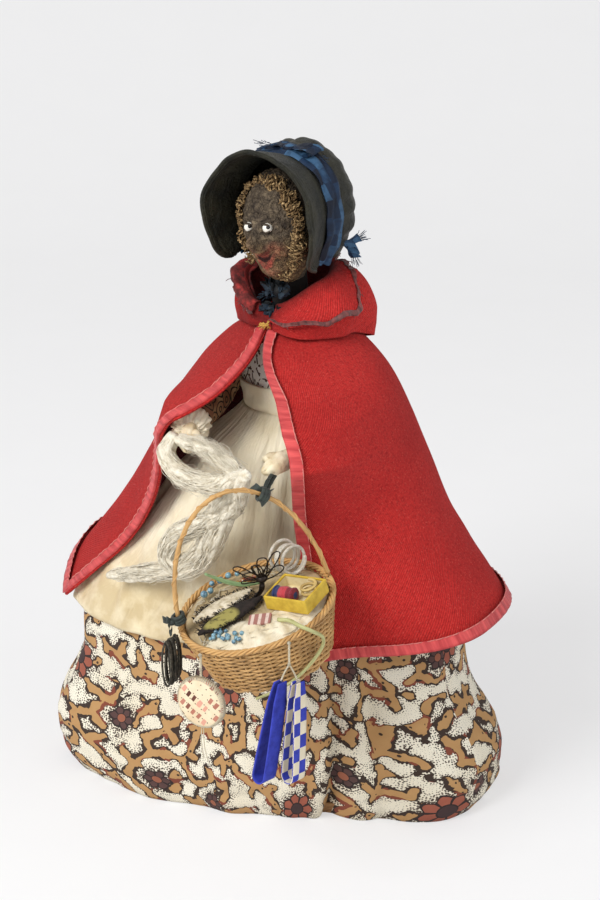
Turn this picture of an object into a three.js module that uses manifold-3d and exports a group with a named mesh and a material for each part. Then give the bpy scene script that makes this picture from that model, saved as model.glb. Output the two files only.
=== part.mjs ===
// Pedlar doll on a padded stand: cloak, bonnet, apron and a basket of small wares
// Millimetres, +Z up. The doll faces -Y and +X is the doll's left. Origin on the floor.
import * as THREE from "three";
import { mergeVertices } from "three/addons/utils/BufferGeometryUtils.js";
import Module from "manifold-3d";

const wasm = await Module();
wasm.setup();

// Clearances and cloth
const GAP = 0.35;
const CLOTH = 0.9;
const RIBBON = 0.6;

// Stand and body
const BOARD_THICKNESS = 6;
const BOARD_INSET = 3;
const POST_RADIUS = 4;
const POST_SOCKET = 3;
const PADDING_TOP = 112;
const TORSO_TOP = 208.5;
const WAIST = 170;
const BODICE_TOP = 206.5;
const BAND_HEIGHT = 12;

// Skirt: height, half width and half depth of an oval that is turned about the post
const SKIRT_TURN = 12;
const SKIRT_SHIFT = -4;
const SKIRT_LEVELS = [
  [0.4, 93, 49], [8, 96.5, 52], [20, 97.5, 54], [32, 94, 53], [45, 86, 50], [58, 81, 48],
  [75, 79, 47], [95, 70, 43.5], [115, 58, 38.5], [140, 41, 31], [158, 29, 24], [170, 22.5, 19.5],
];
const FLARE_ANGLE = -153;
const FLARE_LEVELS = [[0, 5], [20, 6], [60, 9], [78, 10], [120, 4], [165, 0]];
const CREASE_ANGLE = -40;
const CREASE_LEVELS = [[0, 8], [40, 6], [70, 3], [110, 0]];

// Apron
const APRON_HEM = 77;
const APRON_LIFT = GAP + CLOTH + 1;
const APRON_RIGHT = [[77, -156], [120, -154], [170, -158]];
const APRON_LEFT = [[77, -40], [120, -36], [170, -24]];

// Arms: shoulder, elbow and wrist of each side
const SLEEVE_RADIUS = 7;
const SLEEVE_TAPER = 0.22;
const ARM_RADIUS = 4.6;
const RIGHT_ARM = [[-20.5, -3, 194.5], [-31, -13, 177], [-28, -32, 173], [-18.5, -48, 176]];
const RIGHT_HAND = [-15, -55.4, 173.9];
const LEFT_HAND = [31, -61.9, 171.7];
const LEFT_ARM = [[21, -3, 195], [36, -13, 178], [39, -34, 174], [33.5, -54.5, 173.5]];

// Cloak: height, half width, half depth at the back and at the front
const CLOAK_TOP = 212.5;
const CLOAK_HEM = 79;
const CLOAK_HEM_LEVELS = [
  [-51, 82], [-30, 85], [0, 90], [30, 93], [150, 95], [180, 94], [196, 86], [207, 80],
];
const SHOULDER_SHIFT = 2.5;
const CLOAK_LEVELS = [
  [79, 100, 80, 57], [101, 86, 69, 50], [129, 70, 56, 42], [160, 56, 45, 35], [187, 42, 34, 28],
  [200, 30.5, 25.5, 20.5], [208, 19.5, 18, 17], [212.5, 13.5, 13.5, 13.5],
];
const CLOAK_RIGHT_EDGE = [[79, -153], [102, -144], [147, -125], [173, -116], [190, -106], [212.5, -95]];
const CLOAK_LEFT_EDGE = [[79, -51], [120, -52], [148, -56], [172, -60], [190, -66], [212.5, -85]];
const CLOAK_COLUMNS = 36;
const CLOAK_ROWS = 8;
const DRAPE_SPREAD = 24.5;
const CORNER_FLARE = 16;
const BINDING_WIDTH = 5;

// Hood, rolled back as a collar
const HOOD_FOOT = 215;
const HOOD_TOP = 229.5;
const HOOD_EDGE_SIDE = 206;
const HOOD_EDGE_BACK = 191;
const HOOD_OPENING = 12;

// Head
const HEAD = [1.5, -9, 251];
const HEAD_HALF = [15.2, 16, 22.5];
const HEAD_TURN = -8;
const HEAD_ROLL = -8;
const NECK_RADIUS = 7.5;
const POST_TOP = 238;
const EYE_RADIUS = 1.9;

// Bonnet: the band lies where the crown meets the brim
const BAND_Y = -4;
const BRIM_FRONT = -28;
const BONNET_AXIS = [0.6, 257];
const BAND_HALF = [20.3, 20.8];
const BRIM_HALF = [24.6, 27.5];
const CROWN_DEPTH = 27;
const CROWN_NARROW = 0.945;
const SIDE_TUCK = 0.3;
const BRIM_START = -52;

// Basket: rim circle, bowl and handle, hung from the doll's left hand
const RIM_CENTRE = [30.7, -79.5, 117];
const BASKET_YAW = 46;
const BASKET_PITCH = 3;
const BASKET_ROLL = -16;
const RIM_RADIUS = 31;
const RIM_TUBE = 1.7;
const BOWL_DEPTH = 24;
const BOWL_TAPER = 0.8;
const BOWL_WALL = 1.6;
const HANDLE_HEIGHT = 53;
const HANDLE_TUBE = 1.25;
const TIE_ANGLE = 60;

const RAD = Math.PI / 180;
const doll = new THREE.Group();
doll.name = "pedlar_doll";

function vec(x, y, z) {
  return new THREE.Vector3(x, y, z);
}

function bell(offset, width) {
  return Math.exp(-0.5 * (offset / width) ** 2);
}

function turnBetween(a, b) {
  const d = (a - b) * RAD;
  return Math.atan2(Math.sin(d), Math.cos(d)) / RAD;
}

// Smooth curve through rows that start with a position in rising order
function through(rows, column, at) {
  const last = rows.length - 1;
  if (at <= rows[0][0]) return rows[0][column];
  if (at >= rows[last][0]) return rows[last][column];
  let i = 0;
  while (rows[i + 1][0] < at) i++;
  const slope = (k) => (rows[k + 1][column] - rows[k][column]) / (rows[k + 1][0] - rows[k][0]);
  const tangent = (k) => {
    if (k === 0) return slope(0);
    if (k === last) return slope(last - 1);
    const before = slope(k - 1);
    const after = slope(k);
    return before * after <= 0 ? 0 : (2 * before * after) / (before + after);
  };
  const span = rows[i + 1][0] - rows[i][0];
  const t = (at - rows[i][0]) / span;
  const start = rows[i][column] * (1 + 2 * t) * (1 - t) ** 2 + tangent(i) * span * t * (1 - t) ** 2;
  const end = rows[i + 1][column] * t * t * (3 - 2 * t) + tangent(i + 1) * span * t * t * (t - 1);
  return start + end;
}

function ovalReach(angle, halfX, halfY, power) {
  const c = Math.abs(Math.cos(angle * RAD)) / halfX;
  const s = Math.abs(Math.sin(angle * RAD)) / halfY;
  return (c ** power + s ** power) ** (-1 / power);
}

function geometryFrom(positions, index) {
  const geometry = new THREE.BufferGeometry();
  geometry.setAttribute("position", new THREE.Float32BufferAttribute(positions, 3));
  geometry.setIndex(index);
  return geometry;
}

// Outward direction of a face whose u runs counter-clockwise and v downwards
function facing(point, u, v) {
  const h = 1e-3;
  const along = point(u + h, v).sub(point(u - h, v));
  const down = point(u, Math.min(v + h, 1)).sub(point(u, Math.max(v - h, 0)));
  return down.cross(along).normalize();
}

// Closed sheet between an outer and an inner face; a joined sheet runs all round
function sheetBetween(outer, inner, columns, rows, joined = false) {
  const across = joined ? columns : columns + 1;
  const positions = [];
  const index = [];
  for (const face of [outer, inner]) {
    for (let j = 0; j <= rows; j++) {
      for (let i = 0; i < across; i++) positions.push(...face(i / columns, j / rows).toArray());
    }
  }
  const at = (layer, i, j) => (layer * (rows + 1) + j) * across + (i % across);
  const quad = (a, b, c, d) => index.push(a, b, c, a, c, d);
  for (let j = 0; j < rows; j++) {
    for (let i = 0; i < columns; i++) {
      quad(at(0, i, j), at(0, i, j + 1), at(0, i + 1, j + 1), at(0, i + 1, j));
      quad(at(1, i, j), at(1, i + 1, j), at(1, i + 1, j + 1), at(1, i, j + 1));
    }
  }
  for (let i = 0; i < columns; i++) {
    quad(at(0, i, 0), at(0, i + 1, 0), at(1, i + 1, 0), at(1, i, 0));
    quad(at(0, i, rows), at(1, i, rows), at(1, i + 1, rows), at(0, i + 1, rows));
  }
  for (let j = 0; j < rows && !joined; j++) {
    quad(at(0, 0, j), at(1, 0, j), at(1, 0, j + 1), at(0, 0, j + 1));
    quad(at(0, columns, j), at(0, columns, j + 1), at(1, columns, j + 1), at(1, columns, j));
  }
  return geometryFrom(positions, index);
}

// The same face moved outwards along its own direction
function lifted(point, distance) {
  return (u, v) => point(u, v).addScaledVector(facing(point, u, v), distance);
}

// Closed sheet of even thickness behind the face point(u, v)
function sheet(point, columns, rows, thickness, joined = false) {
  return sheetBetween(point, lifted(point, -thickness), columns, rows, joined);
}

// Solid body inside the closed rings point(u, v), capped at both ends
function stuffed(point, columns, rows) {
  const positions = [];
  const index = [];
  for (let j = 0; j <= rows; j++) {
    for (let i = 0; i < columns; i++) positions.push(...point(i / columns, j / rows).toArray());
  }
  const at = (i, j) => j * columns + (i % columns);
  for (let j = 0; j < rows; j++) {
    for (let i = 0; i < columns; i++) {
      index.push(at(i, j), at(i, j + 1), at(i + 1, j + 1), at(i, j), at(i + 1, j + 1), at(i + 1, j));
    }
  }
  for (const j of [0, rows]) {
    const centre = vec(0, 0, 0);
    for (let i = 0; i < columns; i++) centre.add(point(i / columns, j / rows));
    const middle = positions.length / 3;
    positions.push(...centre.divideScalar(columns).toArray());
    for (let i = 0; i < columns; i++) {
      if (j === 0) index.push(middle, at(i, j), at(i + 1, j));
      else index.push(middle, at(i + 1, j), at(i, j));
    }
  }
  return geometryFrom(positions, index);
}

// Rings of a changing radius along a smooth path
function ringsAlong(points, radius, steps) {
  const path = new THREE.CatmullRomCurve3(points, false, "centripetal");
  const frames = path.computeFrenetFrames(steps, false);
  return (u, v) => {
    const place = Math.min(Math.max(v, 0), 1);
    const k = Math.min(Math.floor(place * steps), steps - 1);
    const share = place * steps - k;
    const normal = frames.normals[k].clone().lerp(frames.normals[k + 1], share).normalize();
    const binormal = frames.binormals[k].clone().lerp(frames.binormals[k + 1], share).normalize();
    const turn = u * 2 * Math.PI;
    const r = radius(place);
    const p = path.getPointAt(place);
    p.addScaledVector(normal, r * Math.cos(turn));
    return p.addScaledVector(binormal, -r * Math.sin(turn));
  };
}

// Round tube along a smooth path
function tube(points, radius, sides, steps) {
  const path = new THREE.CatmullRomCurve3(points, false, "centripetal");
  const corners = [];
  for (let k = 0; k < sides; k++) {
    const turn = (k / sides) * 2 * Math.PI;
    corners.push(new THREE.Vector2(radius * Math.cos(turn), radius * Math.sin(turn)));
  }
  const section = new THREE.Shape(corners);
  return new THREE.ExtrudeGeometry(section, { steps, extrudePath: path, bevelEnabled: false });
}

function ball(centre, halfX, halfY, halfZ, columns = 14, rows = 10) {
  const geometry = new THREE.SphereGeometry(1, columns, rows);
  geometry.scale(halfX, halfY, halfZ);
  return geometry.translate(centre.x, centre.y, centre.z);
}

// Upright cylinder between two heights
function drum(radius, low, high, sides = 24, x = 0, y = 0) {
  const geometry = new THREE.CylinderGeometry(radius, radius, high - low, sides);
  geometry.rotateX(Math.PI / 2);
  return geometry.translate(x, y, (low + high) / 2);
}

function solidOf(geometry) {
  const bare = new THREE.BufferGeometry();
  bare.setAttribute("position", geometry.getAttribute("position"));
  if (geometry.index) bare.setIndex(geometry.index);
  const merged = mergeVertices(bare, 1e-4);
  const vertProperties = Float32Array.from(merged.getAttribute("position").array);
  const triVerts = Uint32Array.from(merged.index.array);
  return new wasm.Manifold(new wasm.Mesh({ numProp: 3, vertProperties, triVerts }));
}

function geometryOf(body) {
  const mesh = body.getMesh();
  return geometryFrom(Array.from(mesh.vertProperties), Array.from(mesh.triVerts));
}

function join(...pieces) {
  return geometryOf(pieces.map(solidOf).reduce((whole, piece) => whole.add(piece)));
}

function cut(whole, ...tools) {
  return geometryOf(tools.map(solidOf).reduce((rest, tool) => rest.subtract(tool), solidOf(whole)));
}

function add(name, geometry, color, roughness = 0.9, metalness = 0) {
  const material = new THREE.MeshStandardMaterial({ color, roughness, metalness });
  const mesh = new THREE.Mesh(geometry, material);
  mesh.name = name;
  doll.add(mesh);
}

// Least distance between turns of a wound tube, less its own thickness
function leastGap(points, diameter, skip) {
  let least = Infinity;
  for (let i = 0; i < points.length; i++) {
    for (let j = i + skip; j < points.length; j++) {
      least = Math.min(least, points[i].distanceTo(points[j]) - diameter);
    }
  }
  return least;
}

// Skirt face, with soft folds that deepen towards the hem
function skirtReach(angle, height) {
  const width = through(SKIRT_LEVELS, 1, height);
  const depth = through(SKIRT_LEVELS, 2, height);
  const flare = through(FLARE_LEVELS, 1, height) * bell(turnBetween(angle, FLARE_ANGLE), 17);
  const crease = through(CREASE_LEVELS, 1, height) * bell(turnBetween(angle, CREASE_ANGLE), 9);
  const fall = 1 - height / WAIST;
  const a = angle * RAD;
  const folds = Math.cos(9 * a + 0.6) + 0.7 * Math.cos(13 * a + 2.1) + 0.4 * Math.cos(5 * a + 4);
  const shift = SKIRT_SHIFT * Math.min(1, fall * 2.4) * Math.cos(a);
  return ovalReach(angle - SKIRT_TURN, width, depth, 2.25) + shift + flare - crease + 1.1 * fall * folds;
}

function skirtPoint(angle, height, out) {
  const reach = skirtReach(angle, height) + out;
  return vec(reach * Math.cos(angle * RAD), reach * Math.sin(angle * RAD), height);
}

function fullSkirt(out, low, high) {
  return (u, v) => skirtPoint(u * 360, THREE.MathUtils.lerp(high, low, v ** 0.8), out);
}

const skirtHem = SKIRT_LEVELS[0][0];
const boardTop = BOARD_THICKNESS;
const padInset = CLOTH + GAP + 2.5;
const postFoot = boardTop - POST_SOCKET;
const postBore = drum(POST_RADIUS + GAP, postFoot - 0.3, POST_TOP + 0.3, 24);

const board = stuffed(fullSkirt(-CLOTH - BOARD_INSET, 0, boardTop), 44, 1);
const boardPositions = board.getAttribute("position");
for (let k = 0; k < boardPositions.count; k++) {
  if (boardPositions.getZ(k) < boardTop / 2) boardPositions.setZ(k, 0);
}
add("base_board", cut(board, postBore), 0x8a6a45, 0.8);
add("body_post", drum(POST_RADIUS, postFoot, POST_TOP, 24), 0xa98455, 0.7);
const padding = stuffed(fullSkirt(-padInset, boardTop + GAP, PADDING_TOP), 26, 5);
add("skirt_padding", cut(padding, postBore), 0xd8cfb8, 1);
add("skirt", sheet(fullSkirt(0, skirtHem, WAIST), 44, 8, CLOTH, true), 0xb9a283, 0.95);

// Stuffed torso and the bodice drawn over it
const TORSO_LEVELS = [
  [PADDING_TOP + GAP, 17, 14], [130, 18.5, 15.5], [150, 18, 15], [WAIST, 17, 14], [184, 20, 15],
  [196, 20.5, 13.5], [203, 17, 11.5], [TORSO_TOP, 9, 8],
];

function torsoPoint(angle, height, out) {
  const width = through(TORSO_LEVELS, 1, height) + out;
  const depth = through(TORSO_LEVELS, 2, height) + out;
  const reach = ovalReach(angle, width, depth, 2.1);
  return vec(reach * Math.cos(angle * RAD), reach * Math.sin(angle * RAD), height);
}

function torsoBetween(out, low, high) {
  return (u, v) => torsoPoint(u * 360, THREE.MathUtils.lerp(high, low, v), out);
}

const torsoLow = PADDING_TOP + GAP;
add("torso", cut(stuffed(torsoBetween(0, torsoLow, TORSO_TOP), 16, 7), postBore), 0xd9cdb4, 1);
const bodiceLow = WAIST + GAP;
const bodiceOut = GAP + CLOTH + 0.3;
add("bodice", sheet(torsoBetween(bodiceOut, bodiceLow, BODICE_TOP), 18, 4, CLOTH, true), 0xe4ddd0, 0.95);
const bandOut = bodiceOut + GAP + CLOTH;
const bandTop = bodiceLow + BAND_HEIGHT;
add("apron_band", sheet(torsoBetween(bandOut, bodiceLow, bandTop), 20, 1, CLOTH, true), 0xeae0c8, 0.95);

// Gathered apron hanging in front of the skirt
function apronPoint(u, v) {
  const height = THREE.MathUtils.lerp(WAIST, APRON_HEM, v);
  const angle = THREE.MathUtils.lerp(through(APRON_RIGHT, 1, height), through(APRON_LEFT, 1, height), u);
  const pleats = 0.9 * v * (1 + Math.cos(u * 2 * Math.PI * 6 + 0.8));
  return skirtPoint(angle, height, APRON_LIFT + pleats);
}
add("apron", sheet(apronPoint, 28, 6, CLOTH), 0xeae0c8, 0.95);

// Arms in sleeves, cut to fit against the bodice
const armhole = stuffed(torsoBetween(bodiceOut + GAP, bodiceLow - 2, BODICE_TOP + 2), 18, 6);
const bandRoom = stuffed(torsoBetween(bandOut + GAP, bodiceLow - 2, bandTop + GAP), 20, 1);

function armPath(spots) {
  return spots.map((spot) => vec(...spot));
}

function sleeveRings(spots) {
  const puff = (v) => SLEEVE_RADIUS * (1 + 0.12 * Math.sin(v * Math.PI) - SLEEVE_TAPER * v);
  return ringsAlong(armPath(spots), puff, 12);
}

function addArm(side, spots, handCentre) {
  const arm = stuffed(ringsAlong(armPath(spots), (v) => ARM_RADIUS * (1.05 - 0.2 * v), 8), 8, 6);
  const sleeve = sheet(sleeveRings(spots), 9, 7, CLOTH, true);
  add(side + "_arm", cut(arm, armhole, bandRoom), 0xd9c8a6, 0.9);
  add(side + "_sleeve", cut(sleeve, armhole, bandRoom), 0x6b4a34, 0.95);
  const nudge = handCentre.clone().sub(vec(...spots[spots.length - 1])).setLength(GAP);
  const armRoom = arm.clone().translate(nudge.x, nudge.y, nudge.z);
  add(side + "_hand", cut(handShape(side, spots, handCentre, 0), armRoom, arm), 0xe3d3b2, 0.85);
}

// Mitten hand that points on from the wrist, or the room it needs
function handShape(side, spots, handCentre, room) {
  const reach = handCentre.clone().sub(vec(...spots[spots.length - 1]));
  const palm = ball(vec(0, 0, 0), 3.4 + room, 8 + room, 4.2 + room, 10, 8);
  const thumbSpot = vec(side === "right" ? 3 : -3, -1.5, 2);
  const thumb = ball(thumbSpot, 1.7 + room, 4.2 + room, 1.7 + room, 8, 6);
  const aim = new THREE.Quaternion().setFromUnitVectors(vec(0, -1, 0), reach.normalize());
  const hand = join(palm, thumb).applyQuaternion(aim);
  return hand.translate(handCentre.x, handCentre.y, handCentre.z);
}
addArm("right", RIGHT_ARM, vec(...RIGHT_HAND));
addArm("left", LEFT_ARM, vec(...LEFT_HAND));

// Ruched cuff on the right wrist
const sleeveEnd = SLEEVE_RADIUS * (1.06 - SLEEVE_TAPER);
const cuffPath = RIGHT_ARM.slice(-2).map((spot) => vec(...spot));
const cuffAxis = cuffPath[1].clone().sub(cuffPath[0]).normalize();
const cuffStart = cuffPath[1].clone().addScaledVector(cuffAxis, -4.5);
const cuffEnd = cuffPath[1].clone().addScaledVector(cuffAxis, 1.2);
const cuffRings = ringsAlong([cuffStart, cuffEnd], () => 1, 2);

function cuffPoint(u, v) {
  const ring = cuffRings(u, v);
  const core = cuffStart.clone().lerp(cuffEnd, v);
  const reach = sleeveEnd + GAP + CLOTH + 0.5 * (1 + Math.cos(u * 2 * Math.PI * 9)) * (0.4 + v);
  return core.addScaledVector(ring.sub(core), reach);
}
add("right_cuff", sheet(cuffPoint, 27, 1, CLOTH, true), 0xe6dcc4, 0.95);

// Cloak: a cone from the shoulders that is lifted where it hangs over each wrist
function cloakCone(angle, height) {
  const width = through(CLOAK_LEVELS, 1, height);
  const depth = through(CLOAK_LEVELS, Math.sin(angle * RAD) > 0 ? 2 : 3, height);
  const shift = SHOULDER_SHIFT * Math.min(1, Math.max(0, (height - 130) / 55)) * Math.cos(angle * RAD);
  return ovalReach(angle, width, depth, 2) + shift;
}

function drapeOver(spots, hang, angle, height) {
  const wrist = spots[spots.length - 1];
  const wristAngle = Math.atan2(wrist[1], wrist[0]) / RAD;
  const wristReach = Math.hypot(wrist[0], wrist[1]) + sleeveEnd + CLOTH + 1.4;
  const lift = Math.max(0, wristReach - cloakCone(wristAngle, wrist[2]));
  const above = Math.min(1, (CLOAK_TOP - height) / (CLOAK_TOP - wrist[2] - 11));
  const below = Math.min(1, Math.max(0, (height - CLOAK_HEM) / (wrist[2] - CLOAK_HEM - 4))) ** hang;
  return lift * Math.max(0, Math.min(above, below)) * bell(turnBetween(angle, wristAngle), DRAPE_SPREAD);
}

function cloakReach(angle, height) {
  const drape = drapeOver(RIGHT_ARM, 1.3, angle, height) + drapeOver(LEFT_ARM, 2.4, angle, height);
  const corner = CLOAK_RIGHT_EDGE[0][1];
  const fall = Math.max(0, (CLOAK_TOP - height) / (CLOAK_TOP - CLOAK_HEM));
  const flare = CORNER_FLARE * fall ** 3 * bell(turnBetween(angle, corner), 20);
  const a = angle * RAD;
  const folds = Math.cos(6 * a + 1.1) + 0.8 * Math.cos(9 * a + 2.6) + 0.5 * Math.cos(4 * a);
  const free = cloakCone(angle, height) + drape + flare + 1.5 * fall ** 2 * folds;
  const aboveWaist = Math.max(0, height - WAIST);
  const worn = skirtReach(angle, height) + APRON_LIFT + 2.5 * CLOTH + 2.2 - 2 * aboveWaist;
  return (free + worn + Math.hypot(free - worn, 3)) / 2;
}

function cloakPoint(u, v) {
  const level = THREE.MathUtils.lerp(CLOAK_TOP, CLOAK_HEM, v ** 1.25);
  const left = through(CLOAK_LEFT_EDGE, 1, level);
  const right = through(CLOAK_RIGHT_EDGE, 1, level) + 360;
  const angle = THREE.MathUtils.lerp(left, right, u);
  const hem = through(CLOAK_HEM_LEVELS, 1, angle);
  const height = THREE.MathUtils.lerp(CLOAK_TOP, hem, v ** 1.25);
  const reach = cloakReach(angle, height);
  return vec(reach * Math.cos(angle * RAD), reach * Math.sin(angle * RAD), height);
}
add("cloak", sheet(cloakPoint, CLOAK_COLUMNS, CLOAK_ROWS, CLOTH + 0.2), 0xa31a22, 0.95);

// Ribbon bound over the front edges and the hem, mitred at both corners
function cloakSpan(v) {
  let length = 0;
  for (let k = 0; k < 20; k++) length += cloakPoint(k / 20, v).distanceTo(cloakPoint((k + 1) / 20, v));
  return length;
}

const bindingSteps = CLOAK_COLUMNS + 2 * CLOAK_ROWS;

function bindingFace(lift) {
  const cloakFace = lifted(cloakPoint, lift);
  const fallLength = cloakPoint(0.5, 0).distanceTo(cloakPoint(0.5, 1));
  return (across, along) => {
    const step = along * bindingSteps;
    const side = Math.min(1, step / CLOAK_ROWS, (bindingSteps - step) / CLOAK_ROWS);
    const v = 0.04 + side * (0.96 - (across * BINDING_WIDTH) / fallLength);
    const margin = (across * BINDING_WIDTH) / cloakSpan(v);
    const hemShare = Math.min(1, Math.max(0, (step - CLOAK_ROWS) / CLOAK_COLUMNS));
    return cloakFace(THREE.MathUtils.lerp(margin, 1 - margin, hemShare), v);
  };
}
const bindingLift = GAP + 0.75;
const bindingOuter = bindingFace(bindingLift + RIBBON);
add("cloak_binding", sheetBetween(bindingOuter, bindingFace(bindingLift), 1, bindingSteps), 0xb5303c, 0.6);

// Hood rolled back as a collar, its outer fold lying over the cloak
function hoodFront(angle) {
  return bell(turnBetween(angle, -90), 38);
}

function hoodEdge(angle) {
  const back = Math.max(0, Math.sin(angle * RAD));
  return THREE.MathUtils.lerp(HOOD_EDGE_SIDE, HOOD_EDGE_BACK, back ** 1.5) + 4 * hoodFront(angle);
}

function hoodPoint(u, v) {
  const angle = THREE.MathUtils.lerp(-90 + HOOD_OPENING, 270 - HOOD_OPENING, u);
  const front = hoodFront(angle);
  const top = HOOD_TOP - 12 * front;
  const edge = hoodEdge(angle);
  const edgeReach = cloakReach(angle, edge) + CLOTH + 2 + 1.6 * front;
  const footReach = 14.6;
  const topReach = THREE.MathUtils.lerp(19, 17, front);
  const rows = [
    [0, footReach, HOOD_FOOT], [0.22, THREE.MathUtils.lerp(footReach, topReach, 0.35), top - 3],
    [0.42, topReach, top], [0.62, THREE.MathUtils.lerp(topReach, edgeReach, 0.62), top - 4],
    [0.82, edgeReach + 1, THREE.MathUtils.lerp(top, edge, 0.62)], [1, edgeReach, edge],
  ];
  const ripple = 0.8 * v * Math.cos(7 * angle * RAD + 0.9);
  const reach = through(rows, 1, v) + ripple;
  return vec(reach * Math.cos(angle * RAD), reach * Math.sin(angle * RAD), through(rows, 2, v));
}
add("hood", sheet(hoodPoint, 26, 5, CLOTH), 0xa31a22, 0.95);

function hoodBindingFace(lift) {
  const face = lifted(hoodPoint, lift);
  return (u, v) => face(u, 1 - 0.13 * (1 - v));
}
const hoodBindingOuter = hoodBindingFace(bindingLift + RIBBON);
add("hood_binding", sheetBetween(hoodBindingOuter, hoodBindingFace(bindingLift), 26, 1), 0x7a4a48, 0.6);

// Thread stitch that holds the cloak shut at the throat
const throat = cloakPoint(0, 0.06).add(cloakPoint(1, 0.06)).multiplyScalar(0.5);
const stitchStart = throat.clone().add(vec(-3.4, -1.3, -0.4));
const stitchEnd = throat.clone().add(vec(3.4, -1.3, 0.2));
const stitchBow = throat.clone().add(vec(0, -2.1, 0));
add("throat_stitch", tube([stitchStart, stitchBow, stitchEnd], 0.5, 6, 8), 0xc79a3a, 0.5);

// Head carved with brow, nose and chin, on a neck that turns on the post
const headCentre = vec(...HEAD);
const faceTurn = new THREE.Euler(0, HEAD_ROLL * RAD, HEAD_TURN * RAD, "ZYX");

function headPoint(u, v, out) {
  const turn = u * 2 * Math.PI;
  const tilt = v * Math.PI;
  const side = Math.sin(tilt) * Math.cos(turn);
  const ahead = Math.sin(tilt) * Math.sin(turn);
  const rise = Math.cos(tilt);
  const front = Math.max(0, -ahead);
  const nose = 4.2 * front ** 6 * bell(side, 0.14) * bell(rise + 0.12, 0.17);
  const brow = 1.1 * front ** 3 * bell(rise - 0.26, 0.12);
  const socket = 1.3 * front ** 3 * bell(Math.abs(side) - 0.3, 0.13) * bell(rise - 0.1, 0.1);
  const cheek = 1.2 * front ** 2 * bell(Math.abs(side) - 0.45, 0.18) * bell(rise + 0.3, 0.16);
  const mouth = 0.9 * front ** 4 * bell(side, 0.28) * bell(rise + 0.47, 0.05);
  const chin = 2.4 * front ** 2 * bell(side, 0.2) * bell(rise + 0.78, 0.13);
  const swell = 1 + (nose + brow - socket + cheek - mouth + chin) / HEAD_HALF[1];
  const jaw = 1 - 0.16 * Math.max(0, -rise);
  const [halfX, halfY, halfZ] = HEAD_HALF.map((half) => half + out);
  return vec(side * jaw * halfX, ahead * swell * halfY, rise * halfZ).applyEuler(faceTurn).add(headCentre);
}
const skull = stuffed((u, v) => headPoint(u, 0.02 + 0.96 * v, 0), 22, 13);
const neck = drum(NECK_RADIUS, TORSO_TOP + GAP, headCentre.z - 12, 20);

function eyeSpot(side) {
  const u = 0.75 + side * 0.048;
  return headPoint(u, 0.475, -0.7);
}
const eyeRoom = EYE_RADIUS + 0.25;
const eyeRooms = [-1, 1].map((side) => ball(eyeSpot(side), eyeRoom, eyeRoom, eyeRoom, 9, 6));
add("head", cut(join(skull, neck), postBore, ...eyeRooms), 0x3a261d, 0.85);
const eyeNames = ["right_eye", "left_eye"];
eyeNames.forEach((name, k) => {
  add(name, ball(eyeSpot(2 * k - 1), EYE_RADIUS, EYE_RADIUS, EYE_RADIUS, 9, 6), 0xe9e6de, 0.4);
});

// Crimped hair frill that arches over the face under the bonnet
const frillRings = 32;

function frillPoint(u, v) {
  const turn = THREE.MathUtils.lerp(-30, 210, v) * RAD;
  const round = u * 2 * Math.PI;
  const wave = 0.7 * Math.cos(22 * turn);
  const thick = (2 + 0.3 * Math.cos(22 * turn + 1)) * (0.45 + 0.55 * Math.sin(Math.PI * v) ** 0.5);
  const x = Math.cos(turn) * (HEAD_HALF[0] * 0.92 + 1.7 + thick * Math.cos(round));
  const z = Math.sin(turn) * (HEAD_HALF[2] * 0.84 + 1.7 + thick * Math.cos(round));
  const p = vec(x, -7 + wave - thick * Math.sin(round), z);
  return p.applyEuler(faceTurn).add(headCentre);
}
const skullRoom = stuffed((u, v) => headPoint(u, 0.02 + 0.96 * v, GAP + 0.1), 22, 13);
const neckRoom = drum(NECK_RADIUS + GAP, TORSO_TOP, headCentre.z - 10, 20);
add("hair_frill", cut(stuffed(frillPoint, 5, frillRings), skullRoom), 0x8d6a3d, 0.95);

// Bonnet: a stiff brim in front of the band and a soft gathered crown behind it
function archPoint(angle, halfX, halfZ, y) {
  const side = Math.cos(angle * RAD);
  const rise = Math.sin(angle * RAD);
  const reach = rise > 0 ? side : Math.sign(side) * (1 - SIDE_TUCK * rise ** 2);
  return vec(BONNET_AXIS[0] + halfX * reach, y, BONNET_AXIS[1] + halfZ * rise);
}

function brimPoint(u, v) {
  const angle = THREE.MathUtils.lerp(BRIM_START, 180 - BRIM_START, u);
  const halfX = THREE.MathUtils.lerp(BAND_HALF[0], BRIM_HALF[0], v ** 0.8);
  const halfZ = THREE.MathUtils.lerp(BAND_HALF[1], BRIM_HALF[1], v ** 0.8);
  const low = Math.max(0, -Math.sin(angle * RAD));
  const y = THREE.MathUtils.lerp(BAND_Y, BRIM_FRONT + 7 * low, v);
  return archPoint(angle, halfX, halfZ, y);
}
const brimFlipped = (u, v) => brimPoint(1 - u, v);
add("bonnet_brim", sheet(brimFlipped, 26, 3, 1.2), 0x2b2d27, 0.8);

const crownOutline = [
  [0, 21.5], [0.15, 23.2], [0.4, 23.6], [0.62, 21.5], [0.8, 17], [0.92, 10.5], [0.985, 4], [1, 0],
];

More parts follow.
